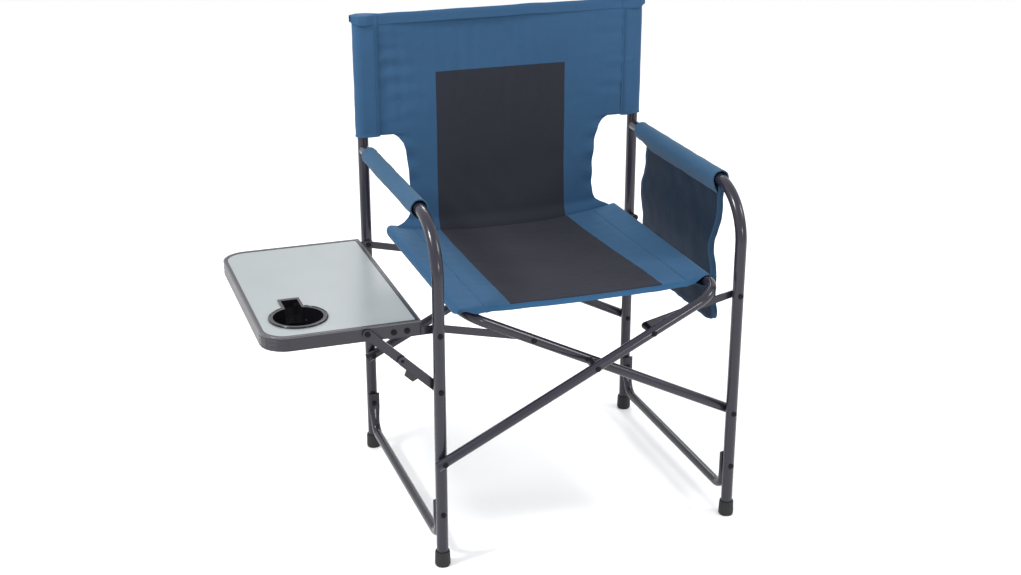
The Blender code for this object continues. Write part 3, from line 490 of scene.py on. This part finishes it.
def swept(name, points, radius, material, sides=8, closed=False):
    """A round strand along a line of points."""
    curve = bpy.data.curves.new(name, "CURVE")
    curve.dimensions = "3D"
    curve.bevel_depth = radius
    curve.bevel_resolution = max(0, (sides - 4) // 2)
    curve.use_fill_caps = not closed
    spline = curve.splines.new("POLY")
    spline.points.add(len(points) - 1)
    for point, target in zip(spline.points, points):
        point.co = (*target, 1.0)
    spline.use_cyclic_u = closed
    source = bpy.data.objects.new(name, curve)
    bpy.context.scene.collection.objects.link(source)
    depsgraph = bpy.context.evaluated_depsgraph_get()
    mesh = bpy.data.meshes.new_from_object(source.evaluated_get(depsgraph))
    bpy.data.objects.remove(source, do_unlink=True)
    mesh.shade_smooth()
    mesh.materials.clear()
    return add_object(name, mesh, [material])


def zoned(limits, steps):
    """Positions through several zones, with shared ends."""
    places = [limits[0]]
    for low, high, count in zip(limits, limits[1:], steps):
        places += [low + (high - low) * i / count for i in range(1, count + 1)]
    return places


def table_of(points, value):
    """Interpolates a table of (height, width) pairs, listed from the top down, at a height."""
    heights = [p[0] for p in points][::-1]
    widths = [p[1] for p in points][::-1]
    return float(np.interp(value, heights, widths))


def clamped(value):
    return max(0.0, min(1.0, value))


def ramp(value, low, high):
    """Rises smoothly from 0 at low to 1 at high."""
    t = clamped((value - low) / (high - low))
    return t * t * (3 - 2 * t)


def rumple(x, y, scale, seed):
    """Smooth noise from -1 to 1."""
    return noise.noise(Vector((x / scale + seed * 7.3, y / scale - seed * 3.1, seed * 1.7)))


def ripple(place, rate, wander, noise_value):
    """A wave along a place, whose crests wander by a noise."""
    return sin(place * rate + wander * noise_value)


def flat_area(grid):
    """Area of the surface through a grid of points."""
    grid = np.asarray(grid, float)
    a = np.linalg.norm(np.cross(grid[1:, :-1] - grid[:-1, :-1], grid[:-1, 1:] - grid[:-1, :-1]), axis=2)
    b = np.linalg.norm(np.cross(grid[1:, :-1] - grid[1:, 1:], grid[:-1, 1:] - grid[1:, 1:]), axis=2)
    return float((a.sum() + b.sum()) / 2)


# ---- tubes ----
def bent_path(corners, bend, steps):
    """The points of a polyline whose inner corners are bent to a radius."""
    path = [corners[0]]
    for before, corner, after in zip(corners, corners[1:], corners[2:]):
        arrive = (corner - before).normalized()
        leave = (after - corner).normalized()
        turn = arrive.angle(leave)
        centre = corner + (leave - arrive).normalized() * (bend / cos(turn / 2))
        spoke = corner - arrive * bend * sin(turn / 2) / cos(turn / 2) - centre
        for step in range(steps + 1):
            angle = turn * step / steps
            path.append(centre + spoke * cos(angle) + arrive * bend * sin(angle))
    return path + [corners[-1]]


def tube_grid(path, radius, sides=28):
    """Rings of points round a path, carried along it without twisting."""
    grid = []
    heading = (path[1] - path[0]).normalized()
    spoke = heading.orthogonal().normalized()
    for index, point in enumerate(path):
        before = path[max(index - 1, 0)]
        after = path[min(index + 1, len(path) - 1)]
        new_heading = (after - before).normalized()
        spoke = (heading.rotation_difference(new_heading) @ spoke).normalized()
        heading = new_heading
        other = heading.cross(spoke)
        angles = [2 * pi * i / sides for i in range(sides)]
        grid.append([point + (spoke * cos(a) + other * sin(a)) * radius for a in angles])
    return grid


def steel_tube(node, body, path, radius, wall, press=None):
    """A smooth tube in place of a CAD node's; press moves its points where it is pressed flat."""
    grid = tube_grid(path, radius - wall / 2)
    if press:
        grid = [[press(point) for point in ring] for ring in grid]
    tube = cloth_sheet(f"{node}_tube", grid, wall, [frame_paint], closed=True)
    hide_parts(node)
    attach(tube, body)


def with_end_rings(path, spacing=0.004, count=12):
    """Adds points down both upright ends of a base rail, for the pressed stretch to bend at."""
    front, rear = (
        [Vector((tip.x, tip.y, BASE_END_Z - spacing * i)) for i in range(1, count + 1)]
        for tip in (path[0], path[-1])
    )
    return path[:1] + front + path[1:-1] + rear[::-1] + path[-1:]


def end_press(x):
    """Presses a base rail's ends flat and wide, keeping the faces that lie on the leg and the post."""
    centre = x + CENTRE_X

    def press(point):
        share = clamped((point.z - PRESS_LOW_Z) / PRESS_RUN)
        face = (LEG_FACE if point.y - FRONT_Y < DEPTH / 2 else DEPTH - LEG_FACE) + FRONT_Y
        wide = centre + (point.x - centre) * (1 + PRESS_WIDER * share)
        return Vector((wide, face + (point.y - face) * (1 - PRESS_FLATTER * share), point.z))

    return press


def make_side_frame(side, word):
    x = side * HALF_WIDTH
    body = f"{word}_frame"
    corners = [at(x, 0, LEG_FOOT_Z), at(x, 0, ARM_TUBE_Z), at(x, ARM_TUBE_END, ARM_TUBE_Z)]
    steel_tube(f"{word}_leg_and_arm", body, bent_path(corners, ARM_BEND, 26), LEG_R, LEG_WALL)
    post = [at(x, DEPTH, z) for z in (LEG_FOOT_Z, 0.5, POST_TOP_Z)]
    steel_tube(f"{word}_back_post", body, post, LEG_R, LEG_WALL)
    front, rear = LEG_FACE + BASE_R, DEPTH - LEG_FACE - BASE_R
    corners = [at(x, front, BASE_END_Z), at(x, front, BASE_Z), at(x, rear, BASE_Z), at(x, rear, BASE_END_Z)]
    path = with_end_rings(bent_path(corners, BASE_BEND, 16))
    steel_tube(f"{word}_base_rail", body, path, BASE_R, BASE_WALL, end_press(x))


def make_scissor_tube(word, foot, shift):
    """A U-shaped tube from one side's feet, across, to the other side's seat rail and back."""
    slope = atan2(SEAT_RAIL_Z - SCISSOR_FOOT_Z, SEAT_RAIL_X + HALF_WIDTH)
    tail = Vector((-foot * cos(slope), 0.0, sin(slope))) * SCISSOR_TAIL
    front, rear = shift, DEPTH + shift
    corners = [
        at(foot * HALF_WIDTH, front, SCISSOR_FOOT_Z) - tail,
        at(-foot * SEAT_RAIL_X, front, SEAT_RAIL_Z),
        at(-foot * SEAT_RAIL_X, rear, SEAT_RAIL_Z),
        at(foot * HALF_WIDTH, rear, SCISSOR_FOOT_Z) - tail,
    ]
    path = bent_path(corners, SCISSOR_BEND, 22)
    steel_tube(f"scissor_tube_{word}", f"x_frame_{word}", path, SCISSOR_R, SCISSOR_WALL)


# ---- backrest ----
def back_half_width(z):
    return BACK_HALF if z > BACK_LOW else table_of(NECK, z)


def back_surface(x, z):
    """How far back the stretched backrest lies at a point, with its folds."""
    wide = ramp(z, *NECK_TO_WIDE)
    near_post = ramp(abs(x), *NEAR_POST)
    near_edge = ramp(abs(x), back_half_width(z) - EDGE_FOLD_RUN, back_half_width(z))
    y = BACK_Y + BACK_BELLY * (ramp(z, CREASE_Z, BELLY_FULL_Z) * (1 - abs(x / 0.29) ** 2.4))
    y -= (BACK_Y - CREASE_Y) * (1 - ramp(z, CREASE_Z, CREASE_Z + CREASE_RISE))
    level = ripple(z, 165, 1.8, rumple(x, z, 0.09, 1)) * rumple(x * 0.5, z, 0.05, 2)
    y += LEVEL_FOLD * level * near_post * wide
    upright = ripple(x, 210, 2.5, rumple(x, z, 0.16, 3))
    y += UPRIGHT_FOLD * upright * rumple(x, z * 0.35, 0.06, 4) * wide
    slanting = ripple(x * 0.8 + z * 0.55, 120, 2.0, rumple(x, z, 0.12, 5))
    y += SLANTING_FOLD * slanting * max(0.0, rumple(x, z, 0.13, 6)) * (1 - 0.4 * wide)
    y += BROAD_FOLD * rumple(x, z, 0.17, 7) * ramp(z, CREASE_Z, 0.55)
    y += EDGE_FOLD * near_edge * sin(z * 130 + x * 30) * (1 - wide) * ramp(z, 0.50, 0.56)
    return y


def make_back():
    """The back sheet, from its crease with the seat to the top, with its charcoal insert."""
    side_columns, insert_columns = 26, 48
    zs = zoned(
        (CREASE_Z, CREASE_Z + CREASE_RISE, NECK_NARROW_Z, BACK_LOW - 0.001, BACK_LOW + 0.001,
         BACK_INSERT_TOP, BACK_TOP - 0.004),
        (8, 30, 26, 2, 30, 30),
    )
    shape = []
    for z in zs:
        half = back_half_width(z)
        row = []
        for x in zoned((-half, *BACK_INSERT, half), (side_columns, insert_columns, side_columns)):
            lift = 0.0012 * rumple(x, 0.0, 0.06, 8) if z > BACK_TOP - 0.02 else 0.0
            drop = seat_top(x, SEAT_REAR) - CREASE_GAP - CREASE_Z
            lift += drop * (1 - ramp(z, CREASE_Z, CREASE_Z + 0.05))
            row.append(at(x, back_surface(x, z), z + lift))
        shape.append(row)
    insert_rows = sum(1 for z in zs if z < BACK_INSERT_TOP - 1e-6)

    def pick(row, column):
        return 1 if row < insert_rows and 0 <= column - side_columns < insert_columns else 0

    sheet = cloth_sheet("back_sheet", shape, BACK_CLOTH, [back_blue, back_charcoal], pick)
    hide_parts("back_fabric")
    return sheet, flat_area(shape)


def wrap_section(side, z):
    """The sleeve's section: flat in front, round the post, and back to its seam."""
    r = WRAP_R + 0.0006 * rumple(side * 3.0, z, 0.03, 9)
    swell = 0.0011 * rumple(side * 5.0, z, 0.045, 10)
    points = []
    for i in range(9):
        t = i / 8
        x = WRAP_SEAM_X + (HALF_WIDTH - WRAP_SEAM_X) * t
        points.append((x, DEPTH - r - swell * sin(pi * t) + 0.0008 * (1 - t)))
    for i in range(1, 13):
        angle = pi * i / 12
        points.append((HALF_WIDTH + r * sin(angle), DEPTH - r * cos(angle)))
    for i in range(1, 8):
        t = i / 7
        x = HALF_WIDTH + (WRAP_SEAM_X - HALF_WIDTH) * t
        y = DEPTH + r + (-WRAP_SEAM_DEPTH - r) * t ** 1.3 + 0.0015 * sin(pi * t)
        points.append((x, y))
    return points


def make_wrap(side, name, body):
    """The sleeve that holds the back sheet on one post."""
    low, top = BACK_LOW - 0.001, BACK_TOP - 0.002
    shape = []
    for z in zoned((low, low + 0.004, top - 0.004, top), (2, 60, 2)):
        hem = WRAP_HEM if z < low + WRAP_HEM_HEIGHT or z > top - WRAP_HEM_HEIGHT else 0.0
        row = []
        for x, y in wrap_section(side, z):
            away = Vector((x - HALF_WIDTH, y - DEPTH))
            grow = 1 + hem / max(away.length, 0.01)
            sag = WRAP_SAG * rumple(x * 2, side, 0.05, 11) * (1 - ramp(z, low, low + 0.02))
            row.append(at(side * (HALF_WIDTH + away.x * grow), DEPTH + away.y * grow, z + sag))
        shape.append(row if side > 0 else row[::-1])
    sleeve = cloth_sheet(name, shape, WRAP_CLOTH, [back_blue])
    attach(sleeve, body)


def top_hem_point(x, t, near):
    """A point of the top hem; t runs from its front edge over its fold to its back edge."""
    past_post = ramp(abs(x), *TOP_HEM_PAST_POST)
    over_post = ramp(abs(x), *TOP_HEM_OVER_POST)
    height = TOP_HEM_HEIGHT * (1 - 0.35 * past_post)
    z = BACK_TOP + 0.0005 - 0.002 * past_post - height * (abs(1 - 2 * t))
    z += 0.0013 * rumple(x, 0.0, 0.05, 12)
    sheet_x = max(-BACK_HALF, min(BACK_HALF, x))
    front = min(back_surface(sheet_x, z), BACK_Y + 0.003) - near
    front_face = front - TOP_HEM_FRONT - POST_BULGE_FRONT * over_post
    back_face = front + 2 * near + TOP_HEM_BACK + POST_BULGE_BACK * over_post
    bend = ramp(t, 0.40, 0.60)
    y = front_face * (1 - bend) + back_face * bend
    y += TOP_HEM_CLOSE * past_post * (1 - bend)
    y -= TOP_HEM_CLOSE * past_post * bend
    return at(x, y, z + (TOP_HEM_CROWN + near) * sin(pi * t))


def make_top_hem(name, xs, near=0.0):
    """Turned hem along part of the backrest's top edge; near makes it lie outside its neighbour."""
    shape = [[top_hem_point(x, k / 12, near) for x in xs] for k in range(13)]
    hem = cloth_sheet(name, shape, TOP_HEM_CLOTH, [back_blue])
    return hem


def squash_back(obj):
    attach(obj, "left_frame")
    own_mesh(obj)


def back_threads():
    """The stitch lines beside the posts."""
    low, length, count = BACK_LOW + 0.003, BACK_TOP - 0.022 - BACK_LOW, 60
    for side, word in ((-1, "left"), (1, "right")):
        places = [low + length * i / (count - 1) for i in range(count)]
        points = [at(side * BACK_STITCH_X, DEPTH - WRAP_R - 0.0010, z) for z in places]
        line = swept(f"back_{word}_stitch", points, THREAD_R, thread, 6)
        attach(line, f"{word}_frame")


def make_backrest():
    """Back sheet, top hem in three parts, post sleeves and stitches."""
    back, area = make_back()
    hem = make_top_hem("back_top_hem", zoned((-TOP_HEM_HALF, TOP_HEM_HALF), (84,)))
    inner, dense, tip = TOP_HEM_ENDS
    left_hem = make_top_hem("back_left_hem_end", zoned((-tip, -dense, -inner), (4, 14)), TOP_HEM_OVERLAP)
    right_hem = make_top_hem("back_right_hem_end", zoned((inner, dense, tip), (14, 4)), TOP_HEM_OVERLAP)
    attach(left_hem, "left_frame")
    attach(right_hem, "right_frame")
    make_wrap(-1, "back_left_sleeve", "left_frame")
    make_wrap(1, "back_right_sleeve", "right_frame")
    back_threads()
    for piece in (back, hem):
        squash_back(piece)


# ---- seat ----
def seat_limits(x, under=0.0):
    """Front and rear edges of the seat cloth, on top or, towards 1, under the rails."""
    edges = LEFT_RAIL_EDGES if x < 0 else RIGHT_RAIL_EDGES
    front, rear = (on_top + shift * under for on_top, shift in edges)
    t = ramp(abs(x), *TO_RAIL)
    bow = SEAT_FRONT_BOW * (1 - (x / 0.2) ** 2) if abs(x) < 0.2 else 0.0
    return SEAT_FRONT + bow + (front - SEAT_FRONT) * t, SEAT_REAR + (rear - SEAT_REAR) * t


def seat_top(x, y):
    """Height of the seat's upper surface between the rails."""
    sag = SEAT_SAG_FRONT + SEAT_SAG_MORE * ramp(y, 0.02, 0.50)
    across = max(0.0, 1 - abs(x / SEAT_RAIL_X) ** 2.6)
    near_rail = ramp(abs(x), 0.09, 0.225)
    front = seat_limits(x)[0]
    z = SEAT_RAIL_Z + RAIL_CLOTH_R - sag * across
    # its front edge turns down, its middle hollows
    turned = 1 - ramp(y, front - 0.004, front + 0.010)
    z -= FRONT_TURN_DOWN * turned * ramp(SEAT_RAIL_X - abs(x), 0.0, 0.030)
    z -= SEAT_HOLLOW * sin(pi * clamped(y / 0.5)) * across
    # folds across the rails, broad unevenness, slanting folds
    z += RAIL_FOLD * ripple(y, 150, 2.2, rumple(x, y, 0.07, 13)) * rumple(x, y, 0.06, 14) * near_rail
    z += SEAT_BROAD_FOLD * rumple(x, y, 0.12, 15) * across
    slanting = ripple(x * 0.9 - y * 0.6, 95, 2.2, rumple(x, y, 0.10, 16))
    z += SEAT_SLANTING_FOLD * slanting * max(0.0, rumple(x, y, 0.15, 17)) * across
    for seam in (-SEAT_SEAM_X, SEAT_SEAM_X):
        z -= SEAM_DIP * max(0.0, 1 - abs(x - seam) / SEAM_DIP_HALF)
    return z


def insert_half(y):
    """Half-width of the seat's insert, which narrows towards the rear."""
    return SEAT_INSERT_HALF - SEAT_INSERT_TAPER * (y - SEAT_FRONT) / (SEAT_REAR - SEAT_FRONT)


def seat_section():
    """Columns of the seat: under one rail, round it, across, and round the other."""
    half = [("under", i / 6) for i in range(6)]
    half += [("round", i / 12) for i in range(13)]
    half += [("flat", i / 22) for i in range(1, 22)]
    left = [(kind, -1, t) for kind, t in half]
    insert = [("insert", 0, i / 44) for i in range(45)]
    right = [(kind, 1, t) for kind, t in reversed(half)]
    return left + insert + right


def seat_column_x(kind, side, t, inner):
    """Where a column lies across the seat when the insert's half-width is inner."""
    if kind == "insert":
        return (-1 + 2 * t) * inner
    if kind == "flat":
        return side * (SEAT_RAIL_X - (SEAT_RAIL_X - inner) * t)
    return side * SEAT_RAIL_X


def seat_point(column, share):
    """The seat's point on a column, at a share of the way from its front edge to its rear one."""
    kind, side, t = column
    r = RAIL_CLOTH_R
    under = {"under": 1.0, "round": 1 - ramp(t, 0.0, 0.80)}.get(kind, 0.0)
    front, rear = seat_limits(seat_column_x(kind, side, t, SEAT_INSERT_HALF), under)
    y = front + (rear - front) * share
    if kind in ("insert", "flat"):
        x = seat_column_x(kind, side, t, insert_half(y))
        return at(x, y, seat_top(x, y))
    if kind == "round":
        angle = pi * (1 - t) * 0.97
        return at(side * (SEAT_RAIL_X + r * sin(angle)), y, SEAT_RAIL_Z + r * cos(angle))
    x = side * (SEAT_RAIL_X - RAIL_UNDERLAP * (1 - t))
    low = SEAT_RAIL_Z - r * 0.995
    rise = (seat_top(x, y) - 0.0022 - low) * ramp(1 - t, 0.05, 1.0)
    return at(x, y, low + rise)


def make_seat():
    columns = seat_section()
    kinds = [kind for kind, _, _ in columns]
    first = kinds.index("insert")
    last = first + kinds.count("insert") - 1
    front_hem_rows = 4
    shares = zoned((0.0, 0.006, 0.0155, 0.030, 0.985, 1.0), (1, 3, 2, 74, 2))
    shape = [[seat_point(column, share) for column in columns] for share in shares]

    def pick(row, column):
        return 1 if row >= front_hem_rows and first <= column < last else 0

    sheet = cloth_sheet("seat_sheet", shape, SEAT_CLOTH, [seat_blue, seat_charcoal], pick)
    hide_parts("seat_fabric")
    return sheet


def on_seat(x, y):
    return at(x, y, seat_top(x, y) + THREAD_LIFT)


def seat_threads():
    """The stitch lines beside the rails and along the front hem."""
    lines = []
    for word, x in (("left", -SEAT_STITCH_X), ("right", SEAT_STITCH_X)):
        front, rear = seat_limits(x)
        places = [front + 0.002 + (rear - front - 0.004) * i / 69 for i in range(70)]
        lines.append(swept(f"seat_{word}_stitch", [on_seat(x, y) for y in places], THREAD_R, thread, 6))
    places = [-0.185 + 0.37 * i / 89 for i in range(90)]
    points = [on_seat(x, seat_limits(x)[0] + 0.0055) for x in places]
    lines.append(swept("seat_front_stitch", points, THREAD_R, thread, 6))
    return lines


def blend_seat(obj):
    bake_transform(obj)


# ---- arm sleeves ----
def arm_sleeve_point(side, angle, y, front, droop):
    """A point of an arm's sleeve: nearly round, thicker at its hems, and slack below by droop."""
    r = ARM_SLEEVE_R + 0.0006 * rumple(cos(angle) + side, y * 14 + sin(angle), 0.7, 18)
    r += 0.0007 * sin(y * 90 + 2 * sin(angle)) * rumple(y, angle, 0.09, 19)
    if y < front + 0.006 or y > ARM_SLEEVE_REAR - 0.006:
        r += ARM_SLEEVE_HEM
    below = max(0.0, -cos(angle))
    up = r * cos(angle) * 1.03
    up -= droop * (0.35 + 0.65 * ramp(ARM_SLEEVE_REAR - y, 0.0, 0.07)) * below ** 2
    across = r * sin(angle)
    across *= 1 - ARM_SLEEVE_PINCH * droop * below ** 3
    return at(side * HALF_WIDTH + across, y, ARM_Z + up)


def make_arm_cover(side, word, front, droop):
    node = f"{word}_arm_cover"
    angles = [2 * pi * i / 40 for i in range(40)]
    shape = []
    for y in zoned((front, front + 0.004, ARM_SLEEVE_REAR - 0.004, ARM_SLEEVE_REAR), (2, 56, 2)):
        shape.append([arm_sleeve_point(side, angle, y, front, droop) for angle in angles])
    cover = cloth_sheet(node, shape, ARM_SLEEVE_CLOTH, [arm_blue], closed=True)
    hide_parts(node)
    cover.name = f"{node}_cloth"
    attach(cover, f"{word}_frame")


# ---- pouch ----
def pouch_wobble(y, z, edge):
    """How far the pouch's cloth wanders from its plane, fading to the same value along its edge."""
    wander = 0.0032 * rumple(y, z, 0.11, 20) + 0.0013 * rumple(y, z, 0.035, 21)
    return wander + 0.0025 * (1 - edge) * sin(z * 55) * (1 - ramp(z, 0.58, 0.648))


def pouch_grid(offset, top, swell):
    shape = []
    for z in zoned((POUCH_LOW, POUCH_HEM_Z, top - 0.009, top), (3, 48, 2)):
        front, rear = table_of(POUCH_FRONT, z), table_of(POUCH_REAR, z)
        rise = clamped((z - POUCH_LOW) / (top - POUCH_LOW))
        row = []
        for y in zoned((front, front + 0.006, rear - 0.006, rear), (2, 46, 2)):
            edge = max(0.0, 1 - abs(2 * (y - front) / (rear - front) - 1) ** 4)
            x = offset + swell * edge * sin(pi * rise ** 0.7) + pouch_wobble(y, z, edge * sin(pi * rise))
            row.append(at(x, y, z))
        shape.append(row)
    return shape


def pouch_pick(rows, columns, top_hem):
    """Gives the pouch's hems the trim's cloth, along its top as well when that is hemmed."""
    hemmed = rows - 3 if top_hem else rows

    def pick(row, column):
        return 1 if column < 2 or column >= columns - 3 or row < 2 or row >= hemmed else 0

    return pick


def soften(path, rounds, spacing=0.004):
    """Resamples a path finely and rounds its corners."""
    dense = []
    for a, b in zip(path, path[1:]):
        steps = max(1, int(np.hypot(b[0] - a[0], b[1] - a[1]) / spacing))
        dense += [(a[0] + (b[0] - a[0]) * i / steps, a[1] + (b[1] - a[1]) * i / steps) for i in range(steps)]
    dense = np.array(dense + [path[-1]])
    for _ in range(rounds):
        dense[1:-1] = (dense[:-2] + dense[2:]) / 4 + dense[1:-1] / 2
    return [tuple(p) for p in dense]


def pouch_outline():
    """The pouch's edge from the top of its front, along its bottom, to the top of its rear."""
    front, rear = POUCH_FRONT[-1][1], POUCH_REAR[-1][1]
    low = [(front + (rear - front) * i / 8, POUCH_LOW) for i in range(1, 8)]
    path = [(y, z) for z, y in POUCH_FRONT] + low + [(y, z) for z, y in reversed(POUCH_REAR)]
    return soften(path, 6)


def outward(y, z, distance):
    """A step away from the pouch's middle, in its plane."""
    return Vector((y - POUCH_MIDDLE[0], z - POUCH_MIDDLE[1])).normalized() * distance


def make_pouch_sheets():
    """The inner wall and the lower outer pocket; returns the inner wall."""
    made = []
    for name, offset, top, swell in (
        ("pouch_inner_sheet", POUCH_INNER_X, POUCH_TOP, -0.004),
        ("pouch_outer_pocket", POUCH_OUTER_X, POCKET_TOP, 0.009),
    ):
        shape = pouch_grid(offset, top, swell)
        pick = pouch_pick(len(shape), len(shape[0]), top < POUCH_TOP)
        sheet = cloth_sheet(name, shape, POUCH_CLOTH, [pouch_navy, trim_blue], pick)
        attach(sheet, "right_frame")
        made.append(sheet)
    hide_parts("side_pouch")
    return made[0]


def make_gusset(outline):
    """The strip that closes the pouch's edge between its two walls."""
    depth = POUCH_OUTER_X - POUCH_INNER_X
    shape = []
    for y, z in outline:
        wobble = pouch_wobble(y, z, 0.0)
        row = []
        for t in (i / 6 for i in range(7)):
            away = outward(y, z, 0.0012 * sin(pi * t))
            row.append(at(POUCH_INNER_X + depth * t + wobble, y + away.x, z + away.y))
        shape.append(row)
    gusset = cloth_sheet("pouch_gusset", shape, GUSSET_CLOTH, [trim_blue])
    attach(gusset, "right_frame")


def make_piping(word, x, outline):
    points = []
    for index, (y, z) in enumerate(outline):
        wave = 0.0006 * sin(index * 0.9) + 0.0005 * rumple(y, z, 0.02, 26)
        away = outward(y, z, 0.0006 + wave)
        points.append(at(x + pouch_wobble(y, z, 0.0), y + away.x, z + away.y))
    piping = swept(f"pouch_{word}_piping", points, PIPING_R, trim_blue, 10)
    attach(piping, "right_frame")


def make_pouch():
    wall = make_pouch_sheets()
    outline = pouch_outline()
    make_gusset(outline)
    make_piping("inner", POUCH_INNER_X, outline)
    make_piping("outer", POUCH_OUTER_X, outline)


# ---- table ----
def rim_loop(grow, z):
    """The rim's outline, grown outwards, at a height."""
    outer, inner = RIM_OUTER_R + grow, RIM_INNER_R + grow
    x0, x1 = TABLE_LOW.x - grow, TABLE_HIGH.x + grow
    y0, y1 = TABLE_LOW.y - grow, TABLE_HIGH.y + grow
    loop = []
    for cx, cy, r, start in (
        (x1 - inner, y1 - inner, inner, 0), (x0 + outer, y1 - outer, outer, 90),
        (x0 + outer, y0 + outer, outer, 180), (x1 - inner, y0 + inner, inner, 270),
    ):
        for i in range(17):
            a = radians(start + 90 * i / 16)
            loop.append(Vector((cx + r * cos(a), cy + r * sin(a), z)))
    return loop


def make_rim_trim():
    """The rolled lip round the rim's top, in a lighter grey that is a painted highlight, and the ribs down
    its side.
    """
    top = TABLE_HIGH.z
    trim = [swept("table_rim_lip", rim_loop(-LIP_INSET, top - LIP_DROP), LIP_R, lip_painted_highlight, 12, closed=True)]
    for index, drop in enumerate(RIB_DROPS):
        loop = rim_loop(-RIB_INSET, top - drop)
        trim.append(swept(f"table_rim_rib_{index + 1}", loop, RIB_R, rim_paint, 8, closed=True))
    for piece in trim:
        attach(piece, "side_table")


def make_cup_bead():
    """The bead on the cup holder's flange, open where the handle's slot leaves the cup."""
    count = 72
    ring = []
    for i in range(count):
        a = 2 * pi * i / count
        from_slot = abs(((a - pi / 2 + pi) % (2 * pi)) - pi)
        if from_slot >= CUP_SLOT_HALF_ANGLE:
            x, y = CUP.x + CUP_BEAD_LOOP_R * cos(a), CUP.y + CUP_BEAD_LOOP_R * sin(a)
            ring.append(Vector((x, y, CUP.z - CUP_BEAD_DROP)))
    start = next(i for i, p in enumerate(ring) if p.x < CUP.x and p.y > CUP.y)
    bead = swept("cup_flange_bead", ring[start:] + ring[:start], CUP_BEAD_R, cup_black, 10)
    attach(bead, "side_table")


# ---- studio ----
def make_floor():
    bpy.ops.mesh.primitive_plane_add(size=FLOOR_SIZE, location=(0.0, 0.0, 0.0))
    floor = bpy.context.object
    floor.name = "floor"
    material, nodes, links, surface = new_material("pale_floor", FLOOR_WHITE, 0.6)
    grain = textured(nodes, links, "ShaderNodeTexNoise", 40.0, Detail=4.0)
    vary(nodes, links, grain.outputs["Fac"], surface.inputs["Roughness"], 0.55, 0.68)
    floor.data.materials.append(material)


def make_lights():
    world = bpy.data.worlds.new("studio")
    bpy.context.scene.world = world
    world.use_nodes = True
    sky = world.node_tree.nodes["Background"]
    sky.inputs["Color"].default_value = SKY_WHITE
    sky.inputs["Strength"].default_value = SKY_STRENGTH
    for name, place, size, power in LIGHTS:
        data = bpy.data.lights.new(name, "AREA")
        data.energy = power
        data.size = size
        light = bpy.data.objects.new(name, data)
        light.location = place
        light.rotation_euler = (Vector(LIGHTS_AIM) - Vector(place)).to_track_quat("-Z", "Y").to_euler()
        bpy.context.scene.collection.objects.link(light)
    bpy.context.scene.view_settings.view_transform = "Standard"


def make_camera():
    data = bpy.data.cameras.new("camera")
    data.lens = CAMERA_LENS
    data.sensor_width = CAMERA_SENSOR
    camera = bpy.data.objects.new("camera", data)
    camera.location = at(*CAMERA_PLACE)
    camera.rotation_euler = Vector(CAMERA_VIEW).to_track_quat("-Z", "Y").to_euler()
    bpy.context.scene.collection.objects.link(camera)
    bpy.context.scene.camera = camera


# ---- all together ----
finish_cad_nodes()
make_side_frame(-1, "left")
make_side_frame(1, "right")
make_scissor_tube("a", -1, -SCISSOR_SHIFT)
make_scissor_tube("b", 1, SCISSOR_SHIFT)
make_backrest()
seat = make_seat()
for piece in [seat] + seat_threads():
    blend_seat(piece)
make_arm_cover(-1, "left", front=0.108, droop=0.0050)
make_arm_cover(1, "right", front=0.094, droop=0.0150)
make_pouch()
make_rim_trim()
make_cup_bead()
make_floor()
make_lights()
make_camera()
